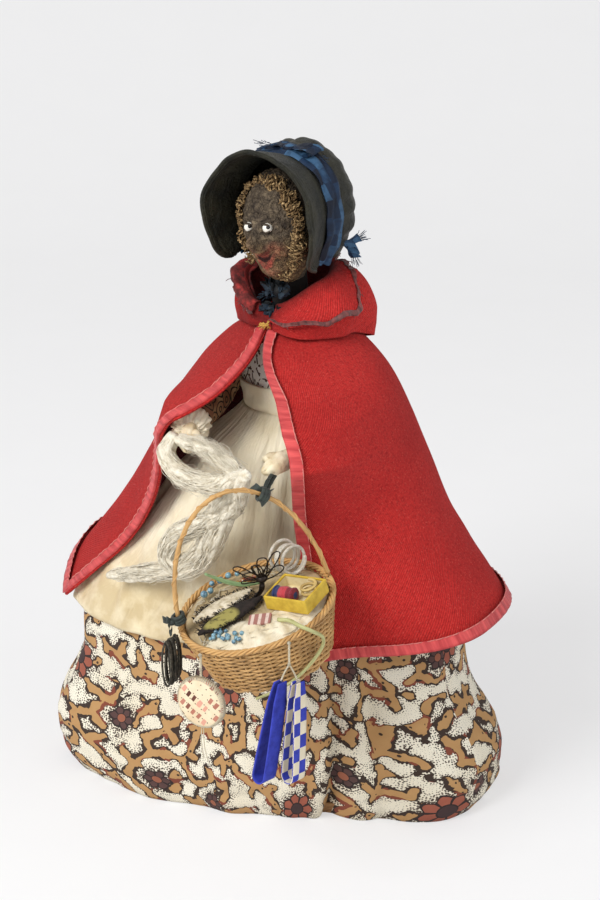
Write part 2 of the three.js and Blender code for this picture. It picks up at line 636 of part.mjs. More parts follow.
function crownShell() {
  const outer = [];
  const inner = [];
  for (let k = 0; k <= 7; k++) {
    const s = Math.sin(((k / 7) * Math.PI) / 2);
    const radius = through(crownOutline, 1, s);
    outer.push(new THREE.Vector2(radius, s * CROWN_DEPTH));
    inner.push(new THREE.Vector2(Math.max(0, radius - 1.1), s * (CROWN_DEPTH - 1.2)));
  }
  inner[7].x = 0;
  const profile = [...outer, ...inner.reverse()];
  profile.push(profile[0].clone());
  const shell = new THREE.LatheGeometry(profile, 28);
  const spots = shell.getAttribute("position");
  for (let k = 0; k < spots.count; k++) {
    const x = spots.getX(k);
    const z = spots.getZ(k);
    const depth = spots.getY(k) / CROWN_DEPTH;
    const turn = Math.atan2(z, x);
    const gathers = 1 + 0.028 * Math.cos(14 * turn) * Math.sin(Math.PI * Math.min(1, Math.max(0, depth)));
    spots.setXYZ(k, x * gathers * CROWN_NARROW, spots.getY(k), z * gathers * 1.02);
  }
  return shell.translate(BONNET_AXIS[0], BAND_Y + GAP, BONNET_AXIS[1]);
}
const nape = drum(NECK_RADIUS + 2.5, TORSO_TOP, headCentre.z - 11, 20);
add("bonnet_crown", cut(crownShell(), nape, skullRoom), 0x2b2d27, 0.8);

// Ribbon round the join of brim and crown, with a bow on top and ends at the chin
function bandRibbonPoint(u, v) {
  const angle = THREE.MathUtils.lerp(180 - BRIM_START + 12, BRIM_START - 12, u);
  const out = 3.4;
  return archPoint(angle, BAND_HALF[0] + out, BAND_HALF[1] + out, BAND_Y - 4 + 9 * v);
}
add("bonnet_ribbon", sheet(bandRibbonPoint, 26, 1, RIBBON), 0x35507d, 0.6);

function bowLoop(length, width, thick) {
  const outline = new THREE.Shape();
  outline.moveTo(0, 0);
  outline.bezierCurveTo(length * 0.4, width, length, width, length, 0);
  outline.bezierCurveTo(length, -width, length * 0.4, -width, 0, 0);
  const geometry = new THREE.ExtrudeGeometry(outline, { depth: thick, bevelEnabled: false, curveSegments: 4 });
  return geometry.translate(0, 0, -thick / 2);
}

function bow(length, width, thick, spreads) {
  const loops = spreads.map((turn) => bowLoop(length, width, thick).rotateZ(turn * RAD));
  return join(ball(vec(0, 0, 0), width * 0.55, width * 0.55, thick * 0.9, 8, 6), ...loops);
}
const topBow = bow(13, 4, 2, [8, 176, -32, 214]);
topBow.translate(BONNET_AXIS[0] + 2, BAND_Y + 1.5, BONNET_AXIS[1] + BAND_HALF[1] + 3.4 + GAP + 1.85);
add("bonnet_bow", topBow, 0x3d5c8c, 0.6);

const backBow = bow(12, 3.4, 2.4, [-60, -105, -20]);
backBow.rotateX(Math.PI / 2).rotateZ(70 * RAD);
backBow.translate(BONNET_AXIS[0] + 22.8, BAND_Y + 11, BONNET_AXIS[1] - 12);
add("bonnet_back_bow", backBow, 0x3d5c8c, 0.6);

const chinLobes = [vec(-5.2, 0, 0), vec(5.2, 0.4, 0.6), vec(0, -1, -2.2)];
const chinBow = join(...chinLobes.map((spot) => ball(spot, 5.2, 3.3, 4.6, 8, 5)));
chinBow.translate(headCentre.x + 2.2, headCentre.y - 7, headCentre.z - 24.2);
add("chin_bow", cut(chinBow, skullRoom, neckRoom), 0x1e2a44, 0.7);

// Basket frame: rim in its own XY plane, handle in its own XZ plane
const basketFrame = new THREE.Matrix4().makeRotationFromEuler(
  new THREE.Euler(BASKET_PITCH * RAD, BASKET_ROLL * RAD, BASKET_YAW * RAD, "ZYX"),
);
basketFrame.setPosition(...RIM_CENTRE);

function inBasket(x, y, z) {
  return vec(x, y, z).applyMatrix4(basketFrame);
}

function addToBasket(name, geometry, color, roughness, metalness) {
  add(name, geometry.applyMatrix4(basketFrame), color, roughness, metalness);
}

const bowlTop = -RIM_TUBE - GAP;
const bowlTopRadius = RIM_RADIUS - 0.4;
const bowlFootRadius = RIM_RADIUS * BOWL_TAPER;
const bowlProfile = [
  [0, -BOWL_DEPTH], [bowlFootRadius - 1, -BOWL_DEPTH], [bowlFootRadius, -BOWL_DEPTH + 1],
  [THREE.MathUtils.lerp(bowlFootRadius, bowlTopRadius, 0.6), -BOWL_DEPTH * 0.5],
  [bowlTopRadius + BOWL_WALL / 2, bowlTop], [bowlTopRadius - BOWL_WALL / 2, bowlTop],
  [THREE.MathUtils.lerp(bowlFootRadius, bowlTopRadius, 0.6) - BOWL_WALL, -BOWL_DEPTH * 0.5],
  [bowlFootRadius - BOWL_WALL, -BOWL_DEPTH + BOWL_WALL + 0.4], [0, -BOWL_DEPTH + BOWL_WALL + 0.4],
].map(([r, z]) => new THREE.Vector2(r, z));
addToBasket("basket_bowl", new THREE.LatheGeometry(bowlProfile, 28).rotateX(Math.PI / 2), 0xb98d4e, 0.85);
addToBasket("basket_rim", new THREE.TorusGeometry(RIM_RADIUS, RIM_TUBE, 6, 28), 0xc39a5a, 0.8);

const handleFoot = RIM_TUBE + HANDLE_TUBE * 0.2 + GAP;
const handleSpots = [];
for (let k = 0; k <= 16; k++) {
  const low = Math.asin(handleFoot / HANDLE_HEIGHT);
  const turn = THREE.MathUtils.lerp(low, Math.PI - low, k / 16);
  handleSpots.push(vec(RIM_RADIUS * Math.cos(turn), 0, HANDLE_HEIGHT * Math.sin(turn)));
}
addToBasket("basket_handle", tube(handleSpots, HANDLE_TUBE, 6, 24), 0xc9a468, 0.75);

// Lining that fills the bowl and carries the wares
const wareFloor = RIM_TUBE + 0.4;
const liningFoot = -BOWL_DEPTH + BOWL_WALL + 0.4 + GAP;
const liningTop = RIM_RADIUS - RIM_TUBE - GAP - 0.5;
const liningProfile = [
  [0, liningFoot], [bowlFootRadius - BOWL_WALL - 1.2, liningFoot],
  [THREE.MathUtils.lerp(bowlFootRadius, bowlTopRadius, 0.6) - BOWL_WALL - 0.8, -BOWL_DEPTH * 0.5],
  [liningTop - 0.6, bowlTop], [liningTop - 1, wareFloor - 1.4], [liningTop - 4, wareFloor], [0, wareFloor],
].map(([r, z]) => new THREE.Vector2(r, z));
addToBasket("basket_lining", new THREE.LatheGeometry(liningProfile, 28).rotateX(Math.PI / 2), 0xd8cba8, 0.95);
const rest = wareFloor + GAP;

// Open yellow tray with a thread reel and a small straw coil in it
const TRAY = { x: 15, y: -11, turn: -50, length: 20, width: 16, height: 6, wall: 0.9 };

function inTray(geometry) {
  return geometry.rotateZ(TRAY.turn * RAD).translate(TRAY.x, TRAY.y, rest);
}
const trayBlock = new THREE.BoxGeometry(TRAY.length, TRAY.width, TRAY.height).translate(0, 0, TRAY.height / 2);
const trayRoom = new THREE.BoxGeometry(TRAY.length - 2 * TRAY.wall, TRAY.width - 2 * TRAY.wall, TRAY.height);
trayRoom.translate(0, 0, TRAY.height / 2 + TRAY.wall);
addToBasket("yellow_tray", inTray(cut(trayBlock, trayRoom)), 0xd9b23a, 0.8);

const REEL_RADIUS = 3.2;
const reelFlange = new THREE.CylinderGeometry(REEL_RADIUS, REEL_RADIUS, 1, 16);
const reelCore = new THREE.CylinderGeometry(REEL_RADIUS - 0.5, REEL_RADIUS - 0.5, 9, 16);
const reel = join(reelCore, reelFlange.clone().translate(0, 4.5, 0), reelFlange.clone().translate(0, -4.5, 0));
reel.rotateZ(Math.PI / 2).translate(-3, -2.8, TRAY.wall + GAP + REEL_RADIUS);
addToBasket("thread_reel", inTray(reel), 0x8e2233, 0.8);

const STRAW_TUBE = 0.65;
const strawSpots = [];
for (let k = 0; k <= 42; k++) {
  const turn = (k / 18) * 2 * Math.PI;
  const radius = 3.1 - 0.12 * Math.cos(turn * 0.5);
  strawSpots.push(vec(radius * Math.cos(turn), radius * Math.sin(turn), (k / 18) * 2));
}
console.log("straw coil least gap", leastGap(strawSpots, 2 * STRAW_TUBE, 9).toFixed(2));
const strawCoil = tube(strawSpots, STRAW_TUBE, 5, 34).translate(4.9, 2.7, TRAY.wall + GAP + STRAW_TUBE + 0.1);
addToBasket("straw_coil", inTray(strawCoil), 0xc7a55c, 0.9);

// White cord wound in open loops, standing by the handle
const CORD_TUBE = 0.7;
const CORD_LOOPS = 4;
const cordSpots = [];
for (let k = 0; k <= CORD_LOOPS * 16; k++) {
  const turn = (k / 16) * 2 * Math.PI;
  const radius = 5.6 + 0.7 * Math.cos(turn * 0.37);
  cordSpots.push(vec((k / 16) * 2.5, radius * Math.cos(turn), radius * Math.sin(turn)));
}
console.log("cord coil least gap", leastGap(cordSpots, 2 * CORD_TUBE, 8).toFixed(2));
const cordCoil = tube(cordSpots, CORD_TUBE, 5, CORD_LOOPS * 15);
cordCoil.translate(-5.2, 0, 0).rotateZ(-70 * RAD).translate(19, 9.5, rest + 6.3 + CORD_TUBE);
addToBasket("cord_coil", cordCoil, 0xe9e4d6, 0.9);

// Bundle of black wire hairpins held by a twist of ribbon
const pins = [];
const PIN_SPREADS = [-26, 4, 34];
PIN_SPREADS.forEach((spread, k) => {
  const lean = spread * RAD;
  const high = 12 + 2.5 * (k % 3);
  const outline = [[-0.9, 0], [-1.3, high * 0.6], [-0.9, high], [0.9, high], [1.3, high * 0.6], [0.9, 0]];
  const spots = outline.map(([x, z]) => {
    const p = vec(x, 0.8 * (k - 1), z);
    return p.applyAxisAngle(vec(0, 1, 0), lean);
  });
  pins.push(tube(spots, 0.4, 4, 9));
});
const pinKnot = ball(vec(0, 0, 1.6), 2.6, 2.2, 1.7, 7, 5);
const pinBundle = join(pinKnot, ...pins).rotateX(24 * RAD).rotateZ(-18 * RAD);
pinBundle.translate(3.5, 4, rest + 0.75);
addToBasket("hairpin_bundle", pinBundle, 0x1c1a19, 0.5, 0.4);

// Two leaf-shaped felt wipers with fringed edges
function leafWiper(length, width, thick) {
  const outline = new THREE.Shape();
  outline.moveTo(-length / 2, 0);
  outline.bezierCurveTo(-length * 0.2, width * 0.68, length * 0.2, width * 0.68, length / 2, 0);
  outline.bezierCurveTo(length * 0.2, -width * 0.68, -length * 0.2, -width * 0.68, -length / 2, 0);
  return new THREE.ExtrudeGeometry(outline, { depth: thick, bevelEnabled: false, curveSegments: 6 });
}
addToBasket("wiper_pale", leafWiper(26, 8, 2.6).rotateZ(12 * RAD).translate(-12.5, 3.6, rest), 0xbab298, 0.95);
addToBasket("wiper_dark", leafWiper(27, 8, 2.8).rotateZ(16 * RAD).translate(-12.8, -5.4, rest), 0x2c2722, 0.95);

// Cut stems: one standing in the wares, one bent over the rim
const STEM = 0.85;
const stemSpots = [vec(-1.5, 9, rest + STEM + 0.2), vec(-8, 9.4, rest + 8), vec(-14.5, 8.2, rest + 17)];
addToBasket("green_stem", tube(stemSpots, STEM, 6, 8), 0xa9b58a, 0.85);
const rimCrest = RIM_TUBE + STEM + GAP;
const rimFront = -RIM_RADIUS;
const bowlFoot = -BOWL_DEPTH;
const bentSpots = [
  vec(4, rimFront + 10.8, rest + STEM), vec(7.5, rimFront + 6, rimCrest + 1),
  vec(9.8, rimFront + 0.6, rimCrest + 0.6), vec(13.6, rimFront - 0.6, 0), vec(15.4, rimFront + 2, -7),
  vec(14.4, rimFront + 4.2, -15), vec(7, rimFront + 4.6, bowlFoot + 0.5),
  vec(-3, rimFront + 5, bowlFoot - 3), vec(-14, rimFront + 8.5, bowlFoot - 4),
];
addToBasket("bent_stem", tube(bentSpots, STEM, 5, 18), 0xb7bd8f, 0.85);

// Glass beads strung close together, and a striped card of pins
function beadString(spots, radius) {
  const cord = tube(spots, radius * 0.4, 4, spots.length);
  return join(cord, ...spots.map((spot) => ball(spot, radius, radius, radius, 6, 4)));
}
const blueBeads = [];
for (let k = 0; k < 6; k++) {
  const turn = (92 + k * 9) * RAD;
  blueBeads.push(vec(23 * Math.cos(turn), 23 * Math.sin(turn), rest + 1.5 + 0.3 * (k % 2)));
}
addToBasket("blue_beads", beadString(blueBeads, 1.45), 0x4f86b8, 0.3);
const redBeads = [];
for (let k = 0; k < 4; k++) redBeads.push(vec(-2.6 + k * 2.5, 14.8 + 0.5 * (k % 2), rest + 1.4));
addToBasket("red_beads", beadString(redBeads, 1.35), 0x7c2f2a, 0.3);
const card = new THREE.BoxGeometry(9, 5.5, 0.8).rotateX(10 * RAD).rotateZ(-28 * RAD);
addToBasket("pin_card", card.translate(-2.2, -15.5, rest + 1), 0xd98c92, 0.9);

// Dark ribbon tied round the foot of the handle, with a hank of laces below it
const footTie = new THREE.TorusGeometry(HANDLE_TUBE + GAP + 0.9, 0.9, 5, 12);
const tieTurn = Math.PI - Math.asin(8 / HANDLE_HEIGHT);
const tieSpot = vec(RIM_RADIUS * Math.cos(tieTurn), 0, HANDLE_HEIGHT * Math.sin(tieTurn));
const tieTail = ball(vec(-3.4, 0, -0.6), 1.5, 2.6, 1.5, 7, 5);
const handleTie = join(footTie, tieTail).translate(tieSpot.x, tieSpot.y, tieSpot.z);
addToBasket("handle_tie", handleTie, 0x1f2a24, 0.7);

// Hanging wares drop straight down from places on the rim
function rimSpot(angle, out, up) {
  return inBasket((RIM_RADIUS + out) * Math.cos(angle * RAD), (RIM_RADIUS + out) * Math.sin(angle * RAD), up);
}

const laceTop = rimSpot(184, 5.2, 3.6);
const LACE_TUBE = 0.6;
const LACE_LOOPS = 5;
const laceSpots = [];
for (let k = 0; k <= LACE_LOOPS * 12; k++) {
  const turn = (k / 12) * 2 * Math.PI;
  const swing = Math.sin(turn) * 2.6;
  const lane = (k / (LACE_LOOPS * 12) - 0.5) * 10;
  laceSpots.push(vec(laceTop.x + swing, laceTop.y + lane, laceTop.z - 11 + 9.5 * Math.cos(turn)));
}
console.log("lace hank least gap", leastGap(laceSpots, 2 * LACE_TUBE, 6).toFixed(2));
const laces = tube(laceSpots, LACE_TUBE, 4, LACE_LOOPS * 13);
add("lace_hank", laces, 0x1a1c1b, 0.8);

const DISC_RADIUS = 12;
const discTop = rimSpot(212, 2.7, 0);
const discDrop = 10;
const discMiddle = vec(discTop.x, discTop.y, discTop.z - discDrop - DISC_RADIUS);
add("disc_string", tube([discTop, vec(discTop.x, discTop.y, discTop.z - discDrop + GAP)], 0.45, 6, 2), 0xe7dfcc, 0.9);
const disc = new THREE.CylinderGeometry(DISC_RADIUS, DISC_RADIUS, 3.4, 28);
add("disc_pincushion", disc.translate(discMiddle.x, discMiddle.y, discMiddle.z), 0xd9c3a4, 0.9);

// Pair of garters, each a folded strip hung by a string from the rim
const GARTER_LENGTH = 43;
const GARTER_WIDTH = 6.6;
const GARTER_BEND = 2.8;
const GARTER_PINCH = 0.9;
const garterTop = rimSpot(276, 2.7, 0);
const garterDrop = 19;
const stringFoot = garterTop.z - garterDrop;
const garterString = tube([garterTop, vec(garterTop.x, garterTop.y, stringFoot + GAP)], 0.45, 6, 2);
add("garter_string", garterString, 0xe7dfcc, 0.9);

const GARTER_TURN = 74;
const GARTER_FACING = 30;

function addGarter(name, slide, lean, color) {
  const strip = (u, v) => {
    const s = 2 * v - 1;
    const round = Math.min(1, Math.abs(s) / 0.16);
    const straight = Math.max(0, Math.abs(s) - 0.16) / 0.84;
    const bend = THREE.MathUtils.lerp(GARTER_BEND, GARTER_PINCH, straight ** 1.5);
    const tip = GARTER_BEND * (1 - Math.cos((round * Math.PI) / 2));
    const drop = GARTER_LENGTH - tip - straight * (GARTER_LENGTH - GARTER_BEND);
    const depth = bend * Math.sign(s) * Math.sin((round * Math.PI) / 2);
    const p = vec((0.5 - u) * GARTER_WIDTH, depth, -drop).applyAxisAngle(vec(0, 0, 1), GARTER_TURN * RAD);
    const aside = vec(slide + lean * drop, 0, 0).applyAxisAngle(vec(0, 0, 1), GARTER_FACING * RAD);
    return p.add(aside).add(vec(garterTop.x, garterTop.y, stringFoot));
  };
  add(name, sheet(strip, 1, 18, RIBBON), color, 0.8);
}
addGarter("garter_blue", -3.4, -0.16, 0x2a4fb0);
addGarter("garter_check", 3.4, -0.05, 0xa9b4cf);

// Ribbon that ties the handle to the left hand
const tieAngle = TIE_ANGLE * RAD;
const tieCentre = vec(RIM_RADIUS * Math.cos(tieAngle), 0, HANDLE_HEIGHT * Math.sin(tieAngle));
const tieAlong = vec(-RIM_RADIUS * Math.sin(tieAngle), 0, HANDLE_HEIGHT * Math.cos(tieAngle)).normalize();
const tieRing = new THREE.TorusGeometry(HANDLE_TUBE + GAP + 1, 1, 5, 12);
tieRing.applyQuaternion(new THREE.Quaternion().setFromUnitVectors(vec(0, 0, 1), tieAlong));
const tieEars = [ball(vec(2.6, 3.4, 1.6), 2.4, 1.5, 1.3, 7, 5), ball(vec(1.2, -4.5, -1.2), 1.5, 2.4, 1.3, 7, 5)];
const knot = join(tieRing, ...tieEars).translate(tieCentre.x, tieCentre.y, tieCentre.z).applyMatrix4(basketFrame);
const knotCentre = tieCentre.clone().applyMatrix4(basketFrame);
const strapEnd = vec(...LEFT_HAND);
const strapOut = strapEnd.clone().sub(knotCentre).setLength(HANDLE_TUBE + GAP + 1.2);
const strap = tube([knotCentre.clone().add(strapOut), strapEnd], 1.5, 6, 2);
const handRoom = handShape("left", LEFT_ARM, vec(...LEFT_HAND), GAP + 0.25);
add("hand_tie", cut(join(knot, strap), handRoom), 0x1f2a24, 0.7);

// Hank of raw wool held in the right hand and laid over the handle and the apron
const WOOL_RADIUS = 4.6;
function woolSwell(v) {
  return WOOL_RADIUS * (0.55 + 0.45 * Math.sin(Math.PI * v) ** 0.5);
}
const woolSpots = [
  vec(-17.5, -61, 181), vec(-17.6, -64, 172.7), vec(-11.5, -68.5, 165.5), vec(2, -74, 164.5),
  vec(13.5, -77, 169.5), vec(23, -79, 173), vec(22, -76, 166), vec(15, -68, 152), vec(9, -63, 139),
  vec(0, -61, 126), vec(-13, -60, 115), vec(-28, -59, 107), vec(-42, -58, 104), vec(-54, -56.5, 106),
];
const wool = stuffed(ringsAlong(woolSpots, woolSwell, 40), 8, 30);
const woolRoom = handShape("right", RIGHT_ARM, vec(...RIGHT_HAND), GAP);
add("wool_hank", cut(wool, woolRoom), 0xb9b0a0, 1);

export default doll;
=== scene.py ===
"""Looks of the pedlar doll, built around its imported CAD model. Lengths are millimetres unless said."""

import math
import random

import bpy
from mathutils import Euler, Matrix, Vector
from mathutils import noise as field


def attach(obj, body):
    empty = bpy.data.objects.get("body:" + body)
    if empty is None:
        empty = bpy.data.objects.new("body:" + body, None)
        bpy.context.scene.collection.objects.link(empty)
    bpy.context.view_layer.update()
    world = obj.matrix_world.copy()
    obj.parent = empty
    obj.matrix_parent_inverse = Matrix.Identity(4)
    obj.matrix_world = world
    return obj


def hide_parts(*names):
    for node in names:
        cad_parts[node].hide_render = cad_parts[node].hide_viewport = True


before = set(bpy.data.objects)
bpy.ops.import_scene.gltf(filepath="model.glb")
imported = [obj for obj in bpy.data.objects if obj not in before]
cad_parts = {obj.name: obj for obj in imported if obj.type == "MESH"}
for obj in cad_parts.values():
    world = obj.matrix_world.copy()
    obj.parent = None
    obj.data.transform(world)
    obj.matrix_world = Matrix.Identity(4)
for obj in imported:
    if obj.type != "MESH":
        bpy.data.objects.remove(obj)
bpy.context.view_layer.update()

MM = 0.001
RAD = math.pi / 180
FULL = 2 * math.pi
NOISE_SEED = 7

field.seed_set(NOISE_SEED)


# Small helpers

def blend(a, b, share):
    return a + (b - a) * share


def clamp(value, low=0.0, high=1.0):
    return max(low, min(high, value))


def bell(offset, width):
    return math.exp(-0.5 * (offset / width) ** 2)


def turn_between(a, b):
    return (a - b + 180) % 360 - 180


def polar(angle, reach, height):
    return Vector((reach * math.cos(angle * RAD), reach * math.sin(angle * RAD), height))


def oval(angle, half_x, half_y, power=2.0):
    c = abs(math.cos(angle * RAD)) / half_x
    s = abs(math.sin(angle * RAD)) / half_y
    return (c ** power + s ** power) ** (-1 / power)


def outward(point):
    """Level direction from the doll's axis to a point."""
    return Vector((point.x, point.y, 0)).normalized()


def upward(distance):
    return Vector((0, 0, distance))


def random_vector(*spans):
    """A vector with its parts drawn in turn, each from its own span."""
    return Vector([random.uniform(low, high) for low, high in spans])


def laid_flat(wide, tall):
    """Flat coordinates of a cloth of that size."""
    return lambda u, v: (u * wide, -tall * v)


def running_lengths(path):
    """Length of a path up to each of its points."""
    lengths = [0.0]
    for before, after in zip(path, path[1:]):
        lengths.append(lengths[-1] + (after - before).length)
    return lengths


def ripple(point, size, seed=0.0):
    """Smooth noise from -1 to 1 with features of that size."""
    return field.noise(Vector(point) / size + Vector((seed, 1.7 * seed, -seed)))


def through(rows, column, at):
    """Smooth curve through rows that start with a position in rising order."""
    last = len(rows) - 1
    if at <= rows[0][0]:
        return rows[0][column]
    if at >= rows[last][0]:
        return rows[last][column]
    i = 0
    while rows[i + 1][0] < at:
        i += 1

    def slope(k):
        return (rows[k + 1][column] - rows[k][column]) / (rows[k + 1][0] - rows[k][0])

    def tangent(k):
        if k == 0:
            return slope(0)
        if k == last:
            return slope(last - 1)
        before, after = slope(k - 1), slope(k)
        return 0 if before * after <= 0 else 2 * before * after / (before + after)

    span = rows[i + 1][0] - rows[i][0]
    t = (at - rows[i][0]) / span
    start = rows[i][column] * (1 + 2 * t) * (1 - t) ** 2 + tangent(i) * span * t * (1 - t) ** 2
    end = rows[i + 1][column] * t * t * (3 - 2 * t) + tangent(i + 1) * span * t * t * (t - 1)
    return start + end


PATH_STEPS = 24


def smooth_path(points, count):
    """Even samples of a rounded line through the points."""
    spots = [Vector(p) for p in points]
    n = len(spots)
    dense = []
    for k in range(n - 1):
        b, c = spots[k], spots[k + 1]
        a = spots[k - 1] if k else b * 2 - c
        d = spots[k + 2] if k + 2 < n else c * 2 - b
        for m in range(PATH_STEPS):
            t = m / PATH_STEPS
            dense.append(0.5 * (2 * b + (c - a) * t + (2 * a - 5 * b + 4 * c - d) * t * t
                                + (3 * b - a - 3 * c + d) * t ** 3))
    dense.append(spots[-1].copy())
    lengths = running_lengths(dense)
    out = []
    j = 0
    for k in range(count):
        want = lengths[-1] * k / (count - 1)
        while j < len(dense) - 2 and lengths[j + 1] < want:
            j += 1
        step = lengths[j + 1] - lengths[j]
        out.append(dense[j].lerp(dense[j + 1], clamp((want - lengths[j]) / step if step else 0)))
    return out


def frames_along(path, closed=False):
    """A pair of side directions at each point of a path, without twist."""
    n = len(path)
    sides = []
    side = None
    for k in range(n):
        ahead = path[(k + 1) % n] if closed else path[min(k + 1, n - 1)]
        behind = path[k - 1] if closed or k else path[0]
        along = (ahead - behind).normalized()
        if side is None:
            side = along.orthogonal().normalized()
        side = (side - along * side.dot(along)).normalized()
        sides.append((side, along.cross(side)))
    return sides


def on_ball(u, v):
    """Place on a ball of radius one: u is the turn, v runs from its top to its foot."""
    tilt = v * math.pi
    return Vector((math.sin(tilt) * math.cos(u * FULL), math.sin(tilt) * math.sin(u * FULL), math.cos(tilt)))


class Shape:
    """Points, faces and flat coordinates that become one piece."""

    def __init__(self):
        self.points = []
        self.faces = []
        self.flat = []

    def grid(self, point, across, down, joined=False, flat=None):
        """Face point(u, v) with u counter-clockwise and v downwards."""
        base = len(self.points)
        columns = across if joined else across + 1
        for j in range(down + 1):
            for i in range(columns):
                self.points.append(Vector(point(i / across, j / down)))
        if flat is None:
            def flat(u, v):
                return (u * across, v * down)
        marks = [[flat(i / across, j / down) for i in range(across + 1)] for j in range(down + 1)]
        for j in range(down):
            for i in range(across):
                a = base + j * columns + i
                b = base + j * columns + (i + 1) % columns
                self.faces.append((a, a + columns, b + columns, b))
                self.flat.append((marks[j][i], marks[j + 1][i], marks[j + 1][i + 1], marks[j][i + 1]))
        return self

    def stuffed(self, point, columns, rows, flat=None):
        """Closed body made of rings, capped at both ends."""
        base = len(self.points)
        self.grid(point, columns, rows, True, flat)
        first = list(range(base, base + columns))
        self.cap(first)
        self.cap([k + columns * rows for k in reversed(first)])
        return self

    def cap(self, ring):
        self.faces.append(tuple(ring))
        self.flat.append(tuple((0.0, 0.0) for _ in ring))

    def tube(self, path, radius, sides=8, closed=False):
        """Round tube; radius is a number or a function of the share along the path."""
        path = [Vector(p) for p in path]
        n = len(path)
        size = radius if callable(radius) else (lambda share: radius)
        sides_at = frames_along(path, closed)
        lengths = running_lengths(path)

        def point(u, v):
            k = round(v * (n if closed else n - 1)) % n
            side, other = sides_at[k]
            r = size(k / (n - 1))
            return path[k] + side * (r * math.cos(u * FULL)) - other * (r * math.sin(u * FULL))

        def flat(u, v):
            k = min(round(v * (n if closed else n - 1)), n - 1)
            return (u * FULL * size(0.5), lengths[k])

        if closed:
            return self.loop_grid(point, sides, n, flat)
        return self.stuffed(point, sides, n - 1, flat)

    def loop_grid(self, point, columns, rows, flat):
        """Rings that close on themselves in both directions."""
        base = len(self.points)
        for j in range(rows):
            for i in range(columns):
                self.points.append(Vector(point(i / columns, j / rows)))
        for j in range(rows):
            for i in range(columns):
                this_ring, next_ring = base + j * columns, base + (j + 1) % rows * columns
                beside = (i + 1) % columns
                self.faces.append((this_ring + i, next_ring + i, next_ring + beside, this_ring + beside))
                u0, u1 = i / columns, (i + 1) / columns
                v0, v1 = j / rows, (j + 1) / rows
                self.flat.append((flat(u0, v0), flat(u0, v1), flat(u1, v1), flat(u1, v0)))
        return self

    def ball(self, centre, half, columns=14, rows=10):
        """Closed ball; half is its radius or its three half axes."""
        centre = Vector(centre)
        half = Vector(half if hasattr(half, "__len__") else (half, half, half))

        def point(u, v):
            return centre + half * on_ball(u, blend(0.04, 0.96, v))

        return self.stuffed(point, columns, rows, lambda u, v: (u * 10, v * 5))

    def ribbon(self, path, across, width):
        """Flat strip along a path; width is a number or a function of the share along the path."""
        last = len(path) - 1
        side = Vector(across).normalized()
        lengths = running_lengths(path)

        def point(u, v):
            wide = width(v) if callable(width) else width
            return path[round(v * last)] + side * (wide * (u - 0.5))

        return self.grid(point, 4, last, False, lambda u, v: (u * 8, lengths[round(v * last)]))

    def ruffle(self, amount, size, start=0, seed=0.0):
        """Moves the points from start on by smooth noise."""
        for k in range(start, len(self.points)):
            p = self.points[k]
            shift = field.noise_vector(p / size + Vector((seed, seed, seed)))
            self.points[k] = p + shift * amount
        return self

    def place(self, matrix, start=0):
        for k in range(start, len(self.points)):
            self.points[k] = matrix @ self.points[k]
        return self

    def drop_face(self, number):
        del self.faces[number]
        del self.flat[number]

    def reverse(self):
        """Turns every face to look the other way."""
        self.faces = [tuple(reversed(face)) for face in self.faces]
        self.flat = [tuple(reversed(marks)) for marks in self.flat]

    def make(self, name, look, body, node=None, slot=None, thick=0.0, smooth=True, inner=None):
        """One piece that rides on a body, in place of the CAD node where one is named."""
        mesh = bpy.data.meshes.new(name)
        mesh.from_pydata([p * MM for p in self.points], [], self.faces)
        layer = mesh.uv_layers.new(name="flat")
        layer.data.foreach_set("uv", [x * MM for face in self.flat for mark in face for x in mark])
        mesh.polygons.foreach_set("use_smooth", [smooth] * len(mesh.polygons))
        mesh.materials.append(look.material)
        piece = bpy.data.objects.new(name, mesh)
        bpy.context.scene.collection.objects.link(piece)
        if thick:
            solid = piece.modifiers.new("thickness", "SOLIDIFY")
            solid.thickness = thick * MM
            solid.offset = -1
        if inner:
            mesh.materials.append(inner.material)
            solid.material_offset = 1
        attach(piece, body)
        if node:
            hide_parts(node)
        return piece


def lifted(point, distance):
    """The same face moved outwards along its own direction."""
    h = 1e-3

    def moved(u, v):
        along = point(u + h, v) - point(u - h, v)
        down = point(u, min(v + h, 1)) - point(u, max(v - h, 0))
        return point(u, v) + down.cross(along).normalized() * distance

    return moved


# Materials

def rgb(red, green, blue):
    """Screen colour, 0 to 255, as the linear colour that a shader takes."""
    def linear(level):
        return ((level / 255 + 0.055) / 1.055) ** 2.4 if level > 10 else level / 3294

    return (linear(red), linear(green), linear(blue), 1.0)


